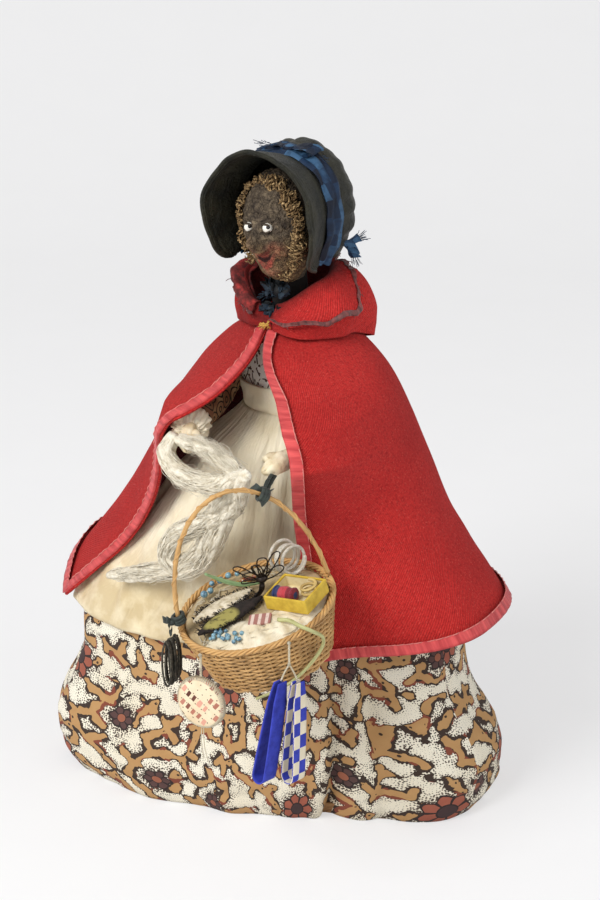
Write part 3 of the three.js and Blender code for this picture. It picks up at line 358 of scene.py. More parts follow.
class Look:
    """A node material; its textures are placed in millimetres."""

    def __init__(self, name, roughness, sockets=None):
        self.material = bpy.data.materials.new(name)
        self.material.use_nodes = True
        self.tree = self.material.node_tree
        self.shader = self.tree.nodes["Principled BSDF"]
        self.shader.inputs["Roughness"].default_value = roughness
        self.shader.inputs["Specular IOR Level"].default_value = 0.3
        for socket, value in (sockets or {}).items():
            self.shader.inputs[socket].default_value = value
        self.spots = {}

    def add(self, kind, *values, **settings):
        node = self.tree.nodes.new("ShaderNode" + kind)
        for key, value in settings.items():
            setattr(node, key, value)
        for socket, value in zip(node.inputs, values):
            self.feed(socket, value)
        return node

    def feed(self, socket, value):
        if isinstance(value, bpy.types.NodeSocket):
            self.tree.links.new(value, socket)
        elif value is not None:
            socket.default_value = value

    def where(self, kind):
        """Texture place in millimetres: Object for the body's own frame, UV for the flat cloth."""
        if kind not in self.spots:
            source = self.add("TexCoord").outputs[kind]
            scaled = self.add("VectorMath", source, operation="SCALE")
            scaled.inputs["Scale"].default_value = 1000
            self.spots[kind] = scaled.outputs[0]
        return self.spots[kind]

    def body(self):
        return self.where("Object")

    def cloth(self):
        return self.where("UV")

    def stretched(self, place, x, y, z=1.0):
        return self.add("VectorMath", place, (x, y, z), operation="MULTIPLY").outputs[0]

    def shifted(self, place, x, y, z=0.0):
        return self.add("VectorMath", place, (x, y, z), operation="ADD").outputs[0]

    def noise(self, size, detail=3.0, place=None, rough=0.55, swirl=0.0):
        node = self.add("TexNoise", place or self.body())
        node.inputs["Scale"].default_value = 1 / size
        node.inputs["Detail"].default_value = detail
        node.inputs["Roughness"].default_value = rough
        node.inputs["Distortion"].default_value = swirl
        return node.outputs[0]

    def cells(self, size, feature="F1", metric="EUCLIDEAN", place=None, spread=1.0, flat=True):
        node = self.add("TexVoronoi", place or self.cloth(), feature=feature)
        node.voronoi_dimensions = "2D" if flat else "3D"
        if feature != "DISTANCE_TO_EDGE":
            node.distance = metric
        node.inputs["Scale"].default_value = 1 / size
        node.inputs["Randomness"].default_value = spread
        return node

    def wave(self, size, place=None, axis="X", bend=0.0, detail=1.0):
        node = self.add("TexWave", place or self.cloth(), wave_type="BANDS", bands_direction=axis)
        node.inputs["Scale"].default_value = FULL / 20 / size
        node.inputs["Distortion"].default_value = bend
        node.inputs["Detail"].default_value = detail
        return node.outputs["Fac"]

    def math(self, operation, a, b=None, limit=False):
        node = self.add("Math", a, b, operation=operation)
        node.use_clamp = limit
        return node.outputs[0]

    def plus(self, a, b):
        return self.math("ADD", a, b)

    def minus(self, a, b, limit=False):
        return self.math("SUBTRACT", a, b, limit=limit)

    def times(self, a, b, limit=False):
        return self.math("MULTIPLY", a, b, limit=limit)

    def below(self, a, b):
        return self.math("LESS_THAN", a, b)

    def above(self, a, b):
        return self.math("GREATER_THAN", a, b)

    def larger(self, a, b):
        return self.math("MAXIMUM", a, b)

    def axis(self, place, number):
        """One coordinate of a place."""
        return self.add("SeparateXYZ", place).outputs[number]

    def length(self, place):
        return self.add("VectorMath", place, operation="LENGTH").outputs["Value"]

    def turned(self, place, degrees):
        node = self.add("VectorRotate", place, rotation_type="Z_AXIS")
        node.inputs["Angle"].default_value = degrees * RAD
        return node.outputs[0]

    def distance(self, *values, **settings):
        """Distance to the nearest cell's middle or edge."""
        return self.cells(*values, **settings).outputs["Distance"]

    def between(self, value, low, high):
        """0 at low and 1 at high, straight in between."""
        return self.add("MapRange", value, low, high, 0.0, 1.0).outputs[0]

    def mix(self, a, b, share):
        node = self.add("Mix", data_type="RGBA")
        self.feed(node.inputs[0], share)
        self.feed(node.inputs[6], a)
        self.feed(node.inputs[7], b)
        return node.outputs[2]

    def patchy(self, light, dark, size, detail, low, high):
        """Two shades that meet in soft patches."""
        return self.mix(light, dark, self.between(self.noise(size, detail), low, high))

    def ramp(self, value, *stops):
        """Colour ramp through (position, colour) stops."""
        node = self.add("ValToRGB", value)
        marks = node.color_ramp.elements
        while len(marks) < len(stops):
            marks.new(1.0)
        for mark, (position, colour) in zip(marks, stops):
            mark.position = position
            mark.color = colour
        return node.outputs[0]

    def spot(self, place, centre, half):
        """1 at the centre of an ellipse, 0 at its edge and beyond."""
        away = self.add("VectorMath", place, centre, operation="SUBTRACT").outputs[0]
        scaled = self.add("VectorMath", away, half, operation="DIVIDE").outputs[0]
        return self.minus(1.0, self.length(scaled), limit=True)

    def paint(self, colour):
        self.feed(self.shader.inputs["Base Color"], colour)
        return self

    def bump(self, height, depth):
        """Raised detail; depth is the height of a full step in millimetres."""
        node = self.add("Bump")
        node.inputs["Strength"].default_value = 1.0
        node.inputs["Distance"].default_value = depth * MM
        self.feed(node.inputs["Height"], height)
        earlier = self.shader.inputs["Normal"]
        if earlier.is_linked:
            self.feed(node.inputs["Normal"], earlier.links[0].from_socket)
        self.feed(earlier, node.outputs[0])
        return self


def weave(look, pitch):
    """Plain weave height: threads over and under at right angles."""
    return look.times(look.wave(pitch, axis="X"), look.wave(pitch, axis="Y"))


def cloth_look(name, colour, dark, pitch=0.5, patch=18.0, depth=0.08):
    """Plain woven cloth with soft patches of a darker shade."""
    look = Look(name, 0.9, {"Sheen Roughness": 0.5})
    shade = look.patchy(colour, dark, patch, 4, 0.35, 0.75)
    slub = look.noise(1.6, 3, look.stretched(look.cloth(), 1, 0.12))
    look.paint(look.mix(shade, dark, look.between(slub, 0.55, 0.95)))
    look.bump(look.noise(5, 3), 0.25)
    look.bump(weave(look, pitch), depth)
    return look


def two_tone(name, light, dark, size, detail, roughness, span=None, sockets=None):
    """Plain stuff in two shades that run into each other in patches."""
    look = Look(name, roughness, sockets)
    share = look.noise(size, detail)
    look.paint(look.mix(light, dark, look.between(share, *span) if span else share))
    return look


# Camera, floor and light

CAMERA_TURN = 30
CAMERA_RISE = 22
CAMERA_AWAY = 1050
CAMERA_AIM = Vector((3.4, 2.0, 149.3))
LENS = 100
SENSOR = 36
SKY_COLOUR = (0.95, 0.97, 1.0, 1.0)
SKY_STRENGTH = 0.42
PAPER_GLOW = 0.55
FLOOR_FRONT = -1500
FLOOR_SIDE = 2000
FLOOR_BACK = 700
FLOOR_BEND = 500
FLOOR_END_TURN = 50 * RAD

# Sizes and places of the lamps are metres
LAMP_AIM = upward(0.12)
KEY_SIZE, KEY_WATTS = 0.8, 19
FILL_SIZE, FILL_WATTS = 1.2, 5.5

turn, rise = CAMERA_TURN * RAD, CAMERA_RISE * RAD
back = Vector((math.sin(turn) * math.cos(rise), -math.cos(turn) * math.cos(rise), math.sin(rise)))
view_right = Vector((math.cos(turn), math.sin(turn), 0))
camera_data = bpy.data.cameras.new("camera")
camera_data.lens = LENS
camera_data.sensor_width = SENSOR
camera_data.clip_start = 0.01
camera = bpy.data.objects.new("camera", camera_data)
camera.location = (CAMERA_AIM + back * CAMERA_AWAY) * MM
camera.rotation_mode = "QUATERNION"
camera.rotation_quaternion = (-back).to_track_quat("-Z", "Y")
bpy.context.scene.collection.objects.link(camera)
bpy.context.scene.camera = camera
bpy.context.scene.view_settings.view_transform = "Standard"


def add_lamp(name, place, size, watts):
    data = bpy.data.lights.new(name, "AREA")
    data.shape = "DISK"
    data.size = size
    data.energy = watts
    lamp = bpy.data.objects.new(name, data)
    lamp.location = place
    lamp.rotation_mode = "QUATERNION"
    lamp.rotation_quaternion = (LAMP_AIM - place).to_track_quat("-Z", "Y")
    bpy.context.scene.collection.objects.link(lamp)


ahead = Vector((-back.x, -back.y, 0)).normalized()
key_place = -view_right * 0.82 - ahead * 0.86 + upward(1.05)
add_lamp("key", key_place, KEY_SIZE, KEY_WATTS)
fill_place = view_right - ahead * 0.7 + upward(0.8)
add_lamp("fill", fill_place, FILL_SIZE, FILL_WATTS)


def seen_directly(tree):
    """1 for rays from the camera and those that metal or glass send on, else 0."""
    paths = tree.nodes.new("ShaderNodeLightPath")
    seen = paths.outputs["Is Camera Ray"]
    for ray in ("Is Glossy Ray", "Is Transmission Ray"):
        either = tree.nodes.new("ShaderNodeMath")
        either.operation = "MAXIMUM"
        tree.links.new(seen, either.inputs[0])
        tree.links.new(paths.outputs[ray], either.inputs[1])
        seen = either.outputs[0]
    return seen


world = bpy.data.worlds.new("studio")
world.use_nodes = True
sky_nodes, sky_links = world.node_tree.nodes, world.node_tree.links
sky = sky_nodes["Background"]
sky.inputs["Color"].default_value = SKY_COLOUR
sky.inputs["Strength"].default_value = SKY_STRENGTH
pale_sky = sky_nodes.new("ShaderNodeBackground")
pale_sky.inputs["Color"].default_value = rgb(236, 236, 237)
sky_mix = sky_nodes.new("ShaderNodeMixShader")
sky_links.new(seen_directly(world.node_tree), sky_mix.inputs[0])
sky_links.new(sky.outputs[0], sky_mix.inputs[1])
sky_links.new(pale_sky.outputs[0], sky_mix.inputs[2])
sky_links.new(sky_mix.outputs[0], sky_nodes["World Output"].inputs["Surface"])
bpy.context.scene.world = world


def sweep_point(u, v):
    """Paper that lies under the object and curves up a little behind it."""
    run = blend(FLOOR_FRONT, FLOOR_BACK + FLOOR_BEND * FLOOR_END_TURN, v)
    side = blend(FLOOR_SIDE, -FLOOR_SIDE, u)
    bend = max(0, run - FLOOR_BACK) / FLOOR_BEND
    depth = min(run, FLOOR_BACK) + FLOOR_BEND * math.sin(bend)
    height = FLOOR_BEND * (1 - math.cos(bend))
    return view_right * side + ahead * depth + upward(height)


paper = two_tone("paper", rgb(246, 246, 246), rgb(241, 241, 241), 40, 2, 0.95)
# The paper's glow darkens with height: a painted fall-off of light up the curved paper.
painted_falloff = paper.between(paper.axis(paper.body(), 2), 0, 900)
glow = paper.add("Emission", paper.ramp(painted_falloff, (0, rgb(253, 252, 252)), (1, rgb(214, 214, 214))))
mixer = paper.add("MixShader", paper.times(seen_directly(paper.tree), PAPER_GLOW))
paper.tree.links.new(paper.shader.outputs[0], mixer.inputs[1])
paper.tree.links.new(glow.outputs[0], mixer.inputs[2])
paper.tree.links.new(mixer.outputs[0], paper.tree.nodes["Material Output"].inputs["Surface"])
sweep = Shape().grid(sweep_point, 8, 60)
floor_mesh = bpy.data.meshes.new("floor")
floor_mesh.from_pydata([p * MM for p in sweep.points], [], sweep.faces)
floor_mesh.polygons.foreach_set("use_smooth", [True] * len(floor_mesh.polygons))
floor_mesh.materials.append(paper.material)
floor = bpy.data.objects.new("floor", floor_mesh)
bpy.context.scene.collection.objects.link(floor)


# Printed skirt over its padding

WAIST = 170
CLOTH = 0.9
GAP = 0.35
SKIRT_TURN = 12
SKIRT_SHIFT = -4
SKIRT_LEVELS = [
    (0.4, 93, 49), (8, 96.5, 52), (20, 97.5, 54), (32, 94, 53), (45, 86, 50), (58, 81, 48),
    (75, 79, 47), (95, 70, 43.5), (115, 58, 38.5), (140, 41, 31), (158, 29, 24), (170, 22.5, 19.5),
]
FLARE_ANGLE = -153
FLARE_LEVELS = [(0, 5), (20, 6), (60, 9), (78, 10), (120, 4), (165, 0)]
CREASE_ANGLE = -40
CREASE_LEVELS = [(0, 8), (40, 6), (70, 3), (110, 0)]
SECOND_CREASE = -24
TUCK_ANGLE = -158
SEAM_ANGLE = -66
SKIRT_FLAT = 480
SKIRT_LENGTH = 186


def skirt_reach(angle, height):
    width = through(SKIRT_LEVELS, 1, height)
    depth = through(SKIRT_LEVELS, 2, height)
    flare = through(FLARE_LEVELS, 1, height) * bell(turn_between(angle, FLARE_ANGLE), 17)
    crease = through(CREASE_LEVELS, 1, height) * bell(turn_between(angle, CREASE_ANGLE), 9)
    fall = 1 - height / WAIST
    a = angle * RAD
    folds = math.cos(9 * a + 0.6) + 0.7 * math.cos(13 * a + 2.1) + 0.4 * math.cos(5 * a + 4)
    shift = SKIRT_SHIFT * min(1, fall * 2.4) * math.cos(a)
    return oval(angle - SKIRT_TURN, width, depth, 2.25) + shift + flare - crease + 1.1 * fall * folds


def skirt_point(angle, height, out):
    return polar(angle, skirt_reach(angle, height) + out, height)


def skirt_face(u, v):
    height = blend(WAIST, SKIRT_LEVELS[0][0], v ** 0.8)
    angle = u * 360
    p = skirt_point(angle, height, 0)
    low = clamp((92 - height) / 40)
    near_hem = clamp((40 - height) / 40)
    lean = 0.07 * (height - 40)

    def fold(depth, where, wide):
        return depth * low * bell(turn_between(angle, where), wide)

    crumple = low * (0.9 * ripple(p, 22) - abs(ripple(p, 13, 5))) + 0.5 * near_hem * ripple(p, 8, 3)
    dart = fold(-5.0, CREASE_ANGLE + 2 + lean, 2.4)
    ridge = fold(2.4, CREASE_ANGLE - 5 + lean, 3.2)
    second = fold(-3.8, SECOND_CREASE - lean, 2.6) + fold(1.2, SECOND_CREASE - 7, 3)
    tuck = -2.0 * bell(turn_between(angle, TUCK_ANGLE + 0.5 * lean), 2.0) * bell(height - 45, 26)
    seam = fold(-0.6, SEAM_ANGLE, 0.7)
    hem = 0.5 * bell(height - 6, 2.5) - 0.5 * bell(height - 10.5, 1.2)
    waist = -4.4 * clamp((height - 156) / 14) ** 1.5
    return skirt_point(angle, height, crumple + dart + ridge + second + tuck + seam + hem + waist)


# Each rosette of the print: spacing, looseness, shift, size, petals, two petal shades and its heart
ROSETTES = (
    (66, 0.6, 0, 8.0, 7, rgb(170, 98, 76), rgb(136, 76, 62), rgb(66, 50, 50)),
    (47, 0.85, 200, 4.4, 6, rgb(94, 68, 64), rgb(78, 56, 54), rgb(150, 92, 70)),
)


def twig_distance(look, place):
    """Grows with the distance from the lines of a branching pattern, which are stepped and cut."""
    turned = look.turned(place, 34)
    stair = look.add("VectorMath", turned, (2.6, 2.6, 2.6), operation="SNAP").outputs[0]
    away = 0.0
    for spot, share in ((turned, 11), (stair, 3)):
        twig = look.distance(14, "DISTANCE_TO_EDGE", place=look.stretched(spot, 1, 1.15))
        away = look.plus(away, look.times(twig, share))
    cuts = look.noise(10, 1, look.shifted(turned, 61, 13))
    away = look.plus(away, look.times(look.larger(look.minus(cuts, 0.495), 0), 36))
    fat = look.between(look.noise(9, 1, look.shifted(place, 23, 71)), 0.5, 0.72)
    away = look.minus(away, look.times(fat, 1.3))
    steps = look.distance(4.4, metric="CHEBYCHEV", place=look.shifted(place, 7, 31), spread=0.9)
    return look.plus(away, look.times(look.minus(steps, 0.45), 1.2))


def rosette_parts(look, place, spacing, looseness, shift, size, petals):
    """Distance from the nearest rosette's middle, the wave of its petals and where their edge lies."""
    spot = look.shifted(place, shift, 0.4 * shift)
    cell = look.cells(spacing, place=spot, spread=looseness)
    arm = look.add("VectorMath", spot, cell.outputs["Position"], operation="SUBTRACT").outputs[0]
    around = look.math("ARCTAN2", look.axis(arm, 1), look.axis(arm, 0))
    lobes = look.math("COSINE", look.times(around, petals))
    uneven = look.times(look.noise(4, 1, look.shifted(place, 3, 9)), 3.0)
    edge = look.plus(look.plus(look.times(lobes, size * 0.13), size - 1.5), uneven)
    return look.length(arm), lobes, edge


def printed_cotton():
    """Cream cotton with an all-over print of angular twigs, rosettes and stippled shading."""
    look = Look("printed_cotton", 0.88)
    place = look.cloth()
    away = twig_distance(look, place)
    rosettes = []
    for spacing, looseness, shift, size, petals, *tones in ROSETTES:
        reach, lobes, edge = rosette_parts(look, place, spacing, looseness, shift, size, petals)
        away = look.plus(away, look.larger(look.minus(size + 3.6, reach), 0.0))
        rosettes.append((size, reach, lobes, edge, tones))
    nearest = away
    for size, reach, lobes, edge, tones in rosettes:
        nearest = look.math("MINIMUM", nearest, look.minus(reach, size - 1))
    near = look.between(nearest, 7.0, 2.2)
    dot = look.distance(1.0, place=look.shifted(place, 3, 3), spread=0.7)
    dots = look.below(dot, look.plus(look.times(near, 0.4), 0.1))
    colour = look.patchy(rgb(236, 229, 210), rgb(220, 209, 184), 30, 4, 0.4, 0.8)
    colour = look.mix(colour, rgb(74, 60, 52), dots)
    side = look.above(look.noise(8, 0, look.shifted(place, 19, 57)), 0.6)
    line = look.mix(rgb(60, 47, 40), rgb(128, 68, 52), side)
    colour = look.mix(colour, line, look.below(away, 3.2))
    tan = look.mix(rgb(190, 150, 100), rgb(172, 130, 84), look.noise(6, 3))
    colour = look.mix(colour, tan, look.below(away, 1.6))
    pips = look.distance(7, place=look.shifted(place, 41, 5), spread=0.7)
    pip = look.times(look.below(pips, 0.09), look.below(away, 0.8))
    colour = look.mix(colour, rgb(60, 46, 38), pip)
    outline = rgb(50, 40, 38)
    for size, reach, lobes, edge, (light, dark, heart) in rosettes:
        colour = look.mix(colour, outline, look.below(reach, look.plus(edge, 0.9)))
        petal = look.times(look.below(reach, edge), look.above(lobes, -0.78))
        tint = look.mix(light, dark, look.noise(7, 2, look.shifted(place, 5, 77)))
        colour = look.mix(colour, tint, petal)
        colour = look.mix(colour, outline, look.below(reach, size * 0.5))
        colour = look.mix(colour, heart, look.below(reach, size * 0.42))
    look.paint(colour)
    look.bump(look.noise(9, 4), 0.6)
    look.bump(weave(look, 0.45), 0.06)
    return look


skirt = Shape().grid(skirt_face, 480, 90, True, lambda u, v: (u * SKIRT_FLAT, -SKIRT_LENGTH * v ** 0.8))
skirt = skirt.make("skirt_cloth", printed_cotton(), "doll", "skirt", "skirt_print", CLOTH)


# Padding of the skirt

wadding = cloth_look("wadding", rgb(222, 212, 190), rgb(198, 186, 160), 0.8)
PADDING_TOP = 112
PADDING_LOW = 6.4
PADDING_INSET = 7


def padding_face(u, v):
    height = blend(PADDING_TOP, PADDING_LOW, v ** 0.8)
    return skirt_point(u * 360, height, 0.5 * math.cos(31 * u * FULL) - PADDING_INSET)


padding = Shape().stuffed(padding_face, 90, 24)
padding = padding.make("padding", wadding, "doll", "skirt_padding", "stuffing")

# Torso

TORSO_LOW = PADDING_TOP + GAP
TORSO_TOP = 208.5
TORSO_LEVELS = [
    (TORSO_LOW, 17, 14), (130, 18.5, 15.5), (150, 18, 15), (WAIST, 17, 14), (184, 20, 15), (196, 20.5, 13.5),
    (203, 17, 11.5), (TORSO_TOP, 9, 8),
]
TORSO_ROUNDNESS = 2.1
BODICE_LOW = WAIST + GAP
BODICE_TOP = 206.5
BODICE_OUT = GAP + CLOTH + 0.3
BAND_OUT = BODICE_OUT + GAP + CLOTH
BAND_HEIGHT = 12


def torso_face(out, low, high, rough):
    """A face round the torso, at a distance from it and a little uneven."""
    def point(u, v):
        height = blend(high, low, v)
        angle = u * 360
        width = through(TORSO_LEVELS, 1, height) + out
        depth = through(TORSO_LEVELS, 2, height) + out
        reach = oval(angle, width, depth, TORSO_ROUNDNESS)
        uneven = rough * ripple(polar(angle, reach, height), 5)
        return polar(angle, reach + uneven, height)

    return point


torso = Shape().stuffed(torso_face(0, TORSO_LOW, TORSO_TOP, 0.3), 48, 30)
torso = torso.make("torso_body", wadding, "doll", "torso", "stuffing")


# Bodice

def sprigged_cotton():
    """White cotton with scattered dark sprigs."""
    look = Look("sprigged_cotton", 0.9)
    place = look.cloth()
    leaf = look.distance(3.4, place=place, spread=0.9)
    curl = look.noise(1.7, 2, place, swirl=1.5)
    sprig = look.below(look.plus(leaf, look.times(curl, 0.5)), 0.42)
    stem = look.below(look.distance(5.5, "DISTANCE_TO_EDGE", place=place), 0.06)
    stem = look.times(stem, look.above(look.noise(3.0, 1, place), 0.47))
    ground = look.patchy(rgb(255, 251, 242), rgb(246, 236, 214), 9, 3, 0.4, 0.8)
    look.paint(look.mix(ground, rgb(96, 76, 62), look.larger(sprig, stem)))
    look.bump(look.noise(3, 3), 0.2)
    look.bump(weave(look, 0.4), 0.05)
    return look


bodice = Shape().grid(torso_face(BODICE_OUT, BODICE_LOW, BODICE_TOP, 0.35), 96, 30, True,
                      laid_flat(115, 36))
bodice = bodice.make("bodice_cloth", sprigged_cotton(), "doll", "bodice", "bodice_print", CLOTH)


# Apron and its waistband

def apron_cotton():
    """Cream cotton with brown age spots, darker in patches towards its hem."""
    look = Look("apron_cotton", 0.88, {"Sheen Weight": 0.08})
    colour = look.patchy(rgb(254, 245, 220), rgb(243, 227, 188), 26, 4, 0.35, 0.75)
    fox = look.between(look.noise(8, 5, rough=0.65), 0.66, 0.8)
    colour = look.mix(colour, rgb(202, 172, 124), look.times(fox, 0.5))
    # Darker in patches towards the hem.
    down = look.between(look.axis(look.cloth(), 1), -36, -84)
    darker_low = look.times(down, look.between(look.noise(14, 4), 0.26, 0.56))
    look.paint(look.mix(colour, rgb(190, 166, 120), look.times(darker_low, 0.75)))
    crease = look.noise(9, 4, look.stretched(look.cloth(), 1, 0.35), swirl=0.6)
    look.bump(crease, 1.7)
    look.bump(weave(look, 0.45), 0.06)
    return look


APRON_HEM = 77
APRON_LIFT = GAP + CLOTH + 1
APRON_RIGHT = [(77, -156), (120, -154), (170, -158)]
APRON_LEFT = [(77, -40), (120, -36), (170, -24)]


def apron_face(u, v):
    height = blend(WAIST + 1.4, APRON_HEM, v)
    angle = blend(through(APRON_RIGHT, 1, height), through(APRON_LEFT, 1, height), u)
    fan = u * FULL
    folds = 0.8 * math.cos(4 * fan + 1.2) + 0.5 * math.cos(7 * fan + 4 * v) + 0.3 * math.cos(11 * fan + 0.5)
    pleats = 1.4 + folds * (0.5 + 0.6 * v)
    tucks = math.cos(15 * fan + 3 * math.sin(5 * fan)) + 0.6 * math.cos(23 * fan + 2)
    gathers = 0.3 * math.exp(-5 * v) * tucks
    p = skirt_point(angle, min(height, WAIST), 0)
    tall = Vector((p.x, p.y, p.z * 0.45))
    crush = 1.8 * ripple(tall, 13, 3) + 0.5 * ripple(p, 8, 8)
    crush -= 2.2 * abs(ripple(tall, 16, 12)) * clamp(v * 4)
    crush -= 0.8 * bell(height - 138 - 5 * math.sin(9 * u), 1.6) * bell(u - 0.42, 0.13)
    hem = 0.35 if v > 0.955 else 0.0
    p = skirt_point(angle, min(height, WAIST), APRON_LIFT + pleats + gathers + 0.3 + crush + hem)
    close = clamp(1 - v / 0.16) ** 1.6
    band = polar(angle, oval(angle, 17 + BAND_OUT + 0.5, 14 + BAND_OUT + 0.5, TORSO_ROUNDNESS), height)
    return p.lerp(band, close)


cotton = apron_cotton()
apron = Shape().grid(apron_face, 170, 80, False, laid_flat(190, 100))
apron = apron.make("apron_cloth", cotton, "doll", "apron", "apron_cotton", CLOTH * 0.6)
waistband = Shape().grid(torso_face(BAND_OUT, BODICE_LOW, BODICE_LOW + BAND_HEIGHT, 0.7), 140, 16, True,
                         laid_flat(125, 12))
waistband = waistband.make("apron_waistband", cotton, "doll", "apron_band", "apron_cotton", CLOTH)


# Arms, sleeves, cuff and hands

SLEEVE_RADIUS = 7
SLEEVE_TAPER = 0.22
ARM_RADIUS = 4.6
ARMS = {
    "right": [(-20.5, -3, 194.5), (-31, -13, 176), (-28, -32, 171), (-18.5, -48.3, 173.4)],
    "left": [(21, -3, 195), (36, -13, 178), (39, -34, 174), (33.5, -54.5, 173.5)],
}
HANDS = {"right": Vector((-14.8, -55.6, 170.8)), "left": Vector((31, -61.9, 171.7))}


def sleeve_print():
    """Tan cotton with dark curved lines."""
    look = Look("sleeve_print", 0.9)
    place = look.cloth()
    ring = look.distance(7, place=place, spread=0.7)
    arcs = look.below(look.math("ABSOLUTE", look.minus(look.math("FRACT", look.times(ring, 3)), 0.5)), 0.16)
    ground = look.patchy(rgb(150, 104, 78), rgb(196, 164, 126), 6, 3, 0.4, 0.7)
    look.paint(look.mix(ground, rgb(48, 34, 26), arcs))
    look.bump(look.noise(4, 4), 0.5)
    look.bump(weave(look, 0.45), 0.05)
    return look


def kid_leather():
    """Cream leather with grime in its grain."""
    look = Look("kid_leather", 0.7)
    colour = look.patchy(rgb(236, 224, 194), rgb(206, 182, 134), 5, 4, 0.35, 0.75)
    grime = look.between(look.noise(2.2, 4), 0.62, 0.8)
    look.paint(look.mix(colour, rgb(150, 118, 76), look.times(grime, 0.6)))
    look.bump(look.noise(1.2, 4), 0.25)
    look.bump(look.distance(0.5, flat=False, place=look.body()), 0.05)
    return look


sleeve_cloth = sleeve_print()
kid = kid_leather()


HAND_PROFILE = [(0, 3.2), (0.25, 3.9), (0.5, 4.3), (0.75, 4.0), (0.92, 2.7), (1, 0.9)]
FINGER_GROOVES = (-0.52, 0.0, 0.52)


def hand_point(u, v):
    """Mitten with stitched fingers, along the arm's own direction."""
    turn = u * FULL
    along = blend(-7.8, 8, v)
    profile = through(HAND_PROFILE, 1, v)
    across = math.cos(turn)
    groove = sum(bell(across - g, 0.13) for g in FINGER_GROOVES) * clamp((v - 0.42) / 0.2)
    depth = profile * (1 - 0.22 * groove)
    tip = 0.8 * math.cos(across * 6) * clamp((v - 0.8) / 0.2)
    return Vector((0.85 * profile * across, -(along + tip), depth * math.sin(turn)))


def sleeve_radius(share):
    return SLEEVE_RADIUS * (1 + 0.2 * math.sin(share * math.pi) - SLEEVE_TAPER * share) - 0.4


def arm_line(spots, count, inward):
    """Path of an arm, bent towards the body in its middle."""
    line = smooth_path(spots, count)
    return [p + inward * math.sin(math.pi * k / (count - 1)) for k, p in enumerate(line)]


for side, spots in ARMS.items():
    inward = Vector((5.0, 1.0, 2.0)) if side == "right" else Vector((0, 0, 0))
    arm = Shape().tube(arm_line(spots, 12, inward), lambda t: ARM_RADIUS * (1.05 - 0.2 * t), 16)
    arm.make(side + "_arm_stuffing", wadding, "doll", side + "_arm", "stuffing")
    sleeve = Shape().tube(arm_line(spots, 30, inward), sleeve_radius, 40)
    sleeve.drop_face(-1)
    sleeve.drop_face(-1)
    sleeve.ruffle(0.9, 5, seed=2.0)
    sleeve_name = side + "_sleeve"
    sleeve = sleeve.make(sleeve_name + "_cloth", sleeve_cloth, "doll", sleeve_name, "sleeve_print", 0.5)
    aim = (HANDS[side] - Vector(spots[-1])).normalized()
    spin = Vector((0, -1, 0)).rotation_difference(aim)
    hand = Shape().stuffed(hand_point, 40, 30)
    way = 1 if side == "right" else -1
    thumb = [(way * 1.5, 2.5, 1), (way * 3.4, -0.5, 2.2), (way * 3.2, -4.2, 2.4)]
    hand.tube(smooth_path(thumb, 10), lambda t: 1.5 + 0.4 * math.sin(t * 2.6), 12)
    hand.ruffle(0.35, 2.2, seed=4.0)
    hand.place(Matrix.Translation(HANDS[side]) @ spin.to_matrix().to_4x4())
    hand.make(side + "_hand_mitten", kid, "doll", side + "_hand", "kid_leather")


# Frilled cuff

cuff_end = Vector(ARMS["right"][-1])
cuff_axis = (cuff_end - Vector(ARMS["right"][-2])).normalized()
hand_aim = (HANDS["right"] - cuff_end).normalized()
cuff_side = cuff_axis.orthogonal().normalized()
cuff_other = cuff_axis.cross(cuff_side)
CUFF_PROFILE = [(0, 6.4), (0.2, 7.8), (0.5, 7.6), (0.8, 6.0), (1, 3.5)]


def cuff_face(u, v):
    turn = -u * FULL
    along = blend(-4.8, 4.2, v)
    pleat = math.cos(17 * turn + 2.2 * math.sin(2 * turn)) + 0.5 * math.cos(29 * turn + 9 * v)
    profile = through(CUFF_PROFILE, 1, v)
    reach = profile + 0.07 * profile * pleat * (0.5 + v)
    along += 0.35 * math.sin(9 * turn + 1.4) * v
    axis = cuff_axis if along < 0 else hand_aim
    aside = cuff_side * (reach * math.cos(turn)) + cuff_other * (reach * math.sin(turn))
    return cuff_end + axis * along + aside


cuff = Shape().grid(cuff_face, 150, 26, True, laid_flat(80, 9)).ruffle(0.8, 2.2)
cuff = cuff.make("right_cuff_frill", cotton, "doll", "right_cuff", "apron_cotton", 0.4)


# Cloak

CLOAK_TOP = 212.5
CLOAK_HEM = 79
CLOAK_HEM_LEVELS = [
    (-51, 82), (-30, 86), (0, 90), (18, 90), (50, 92), (150, 95), (180, 94), (196, 86), (207, 80),
]
SHOULDER_SHIFT = 2.5
CLOAK_LEVELS = [
    (79, 100, 80, 57), (101, 86, 69, 50), (129, 70, 56, 42), (160, 56, 45, 35), (187, 42, 34, 28),
    (200, 30.5, 25.5, 20.5), (208, 19.5, 18, 17), (212.5, 13.5, 13.5, 13.5),
]
CLOAK_RIGHT_EDGE = [
    (79, -153), (102, -144), (147, -125), (173, -114), (190, -97), (203, -91.5), (212.5, -91),
]
CLOAK_LEFT_EDGE = [
    (79, -51), (100, -53.5), (120, -56), (148, -59), (172, -60), (190, -65), (203, -81), (212.5, -87),
]
CLOAK_LENGTH = 150
DRAPE_SPREAD = 24.5
DRAPE_RISE = {"right": (6, 2.2), "left": (11, 1.0)}
CORNER_FLARE = 16
HEM_FOLD = 6
SLEEVE_END = SLEEVE_RADIUS * (1.06 - SLEEVE_TAPER)


def cloak_cone(angle, height):
    width = through(CLOAK_LEVELS, 1, height)
    depth = through(CLOAK_LEVELS, 2 if math.sin(angle * RAD) > 0 else 3, height)
    shift = SHOULDER_SHIFT * clamp((height - 130) / 55) * math.cos(angle * RAD)
    return oval(angle, width, depth) + shift


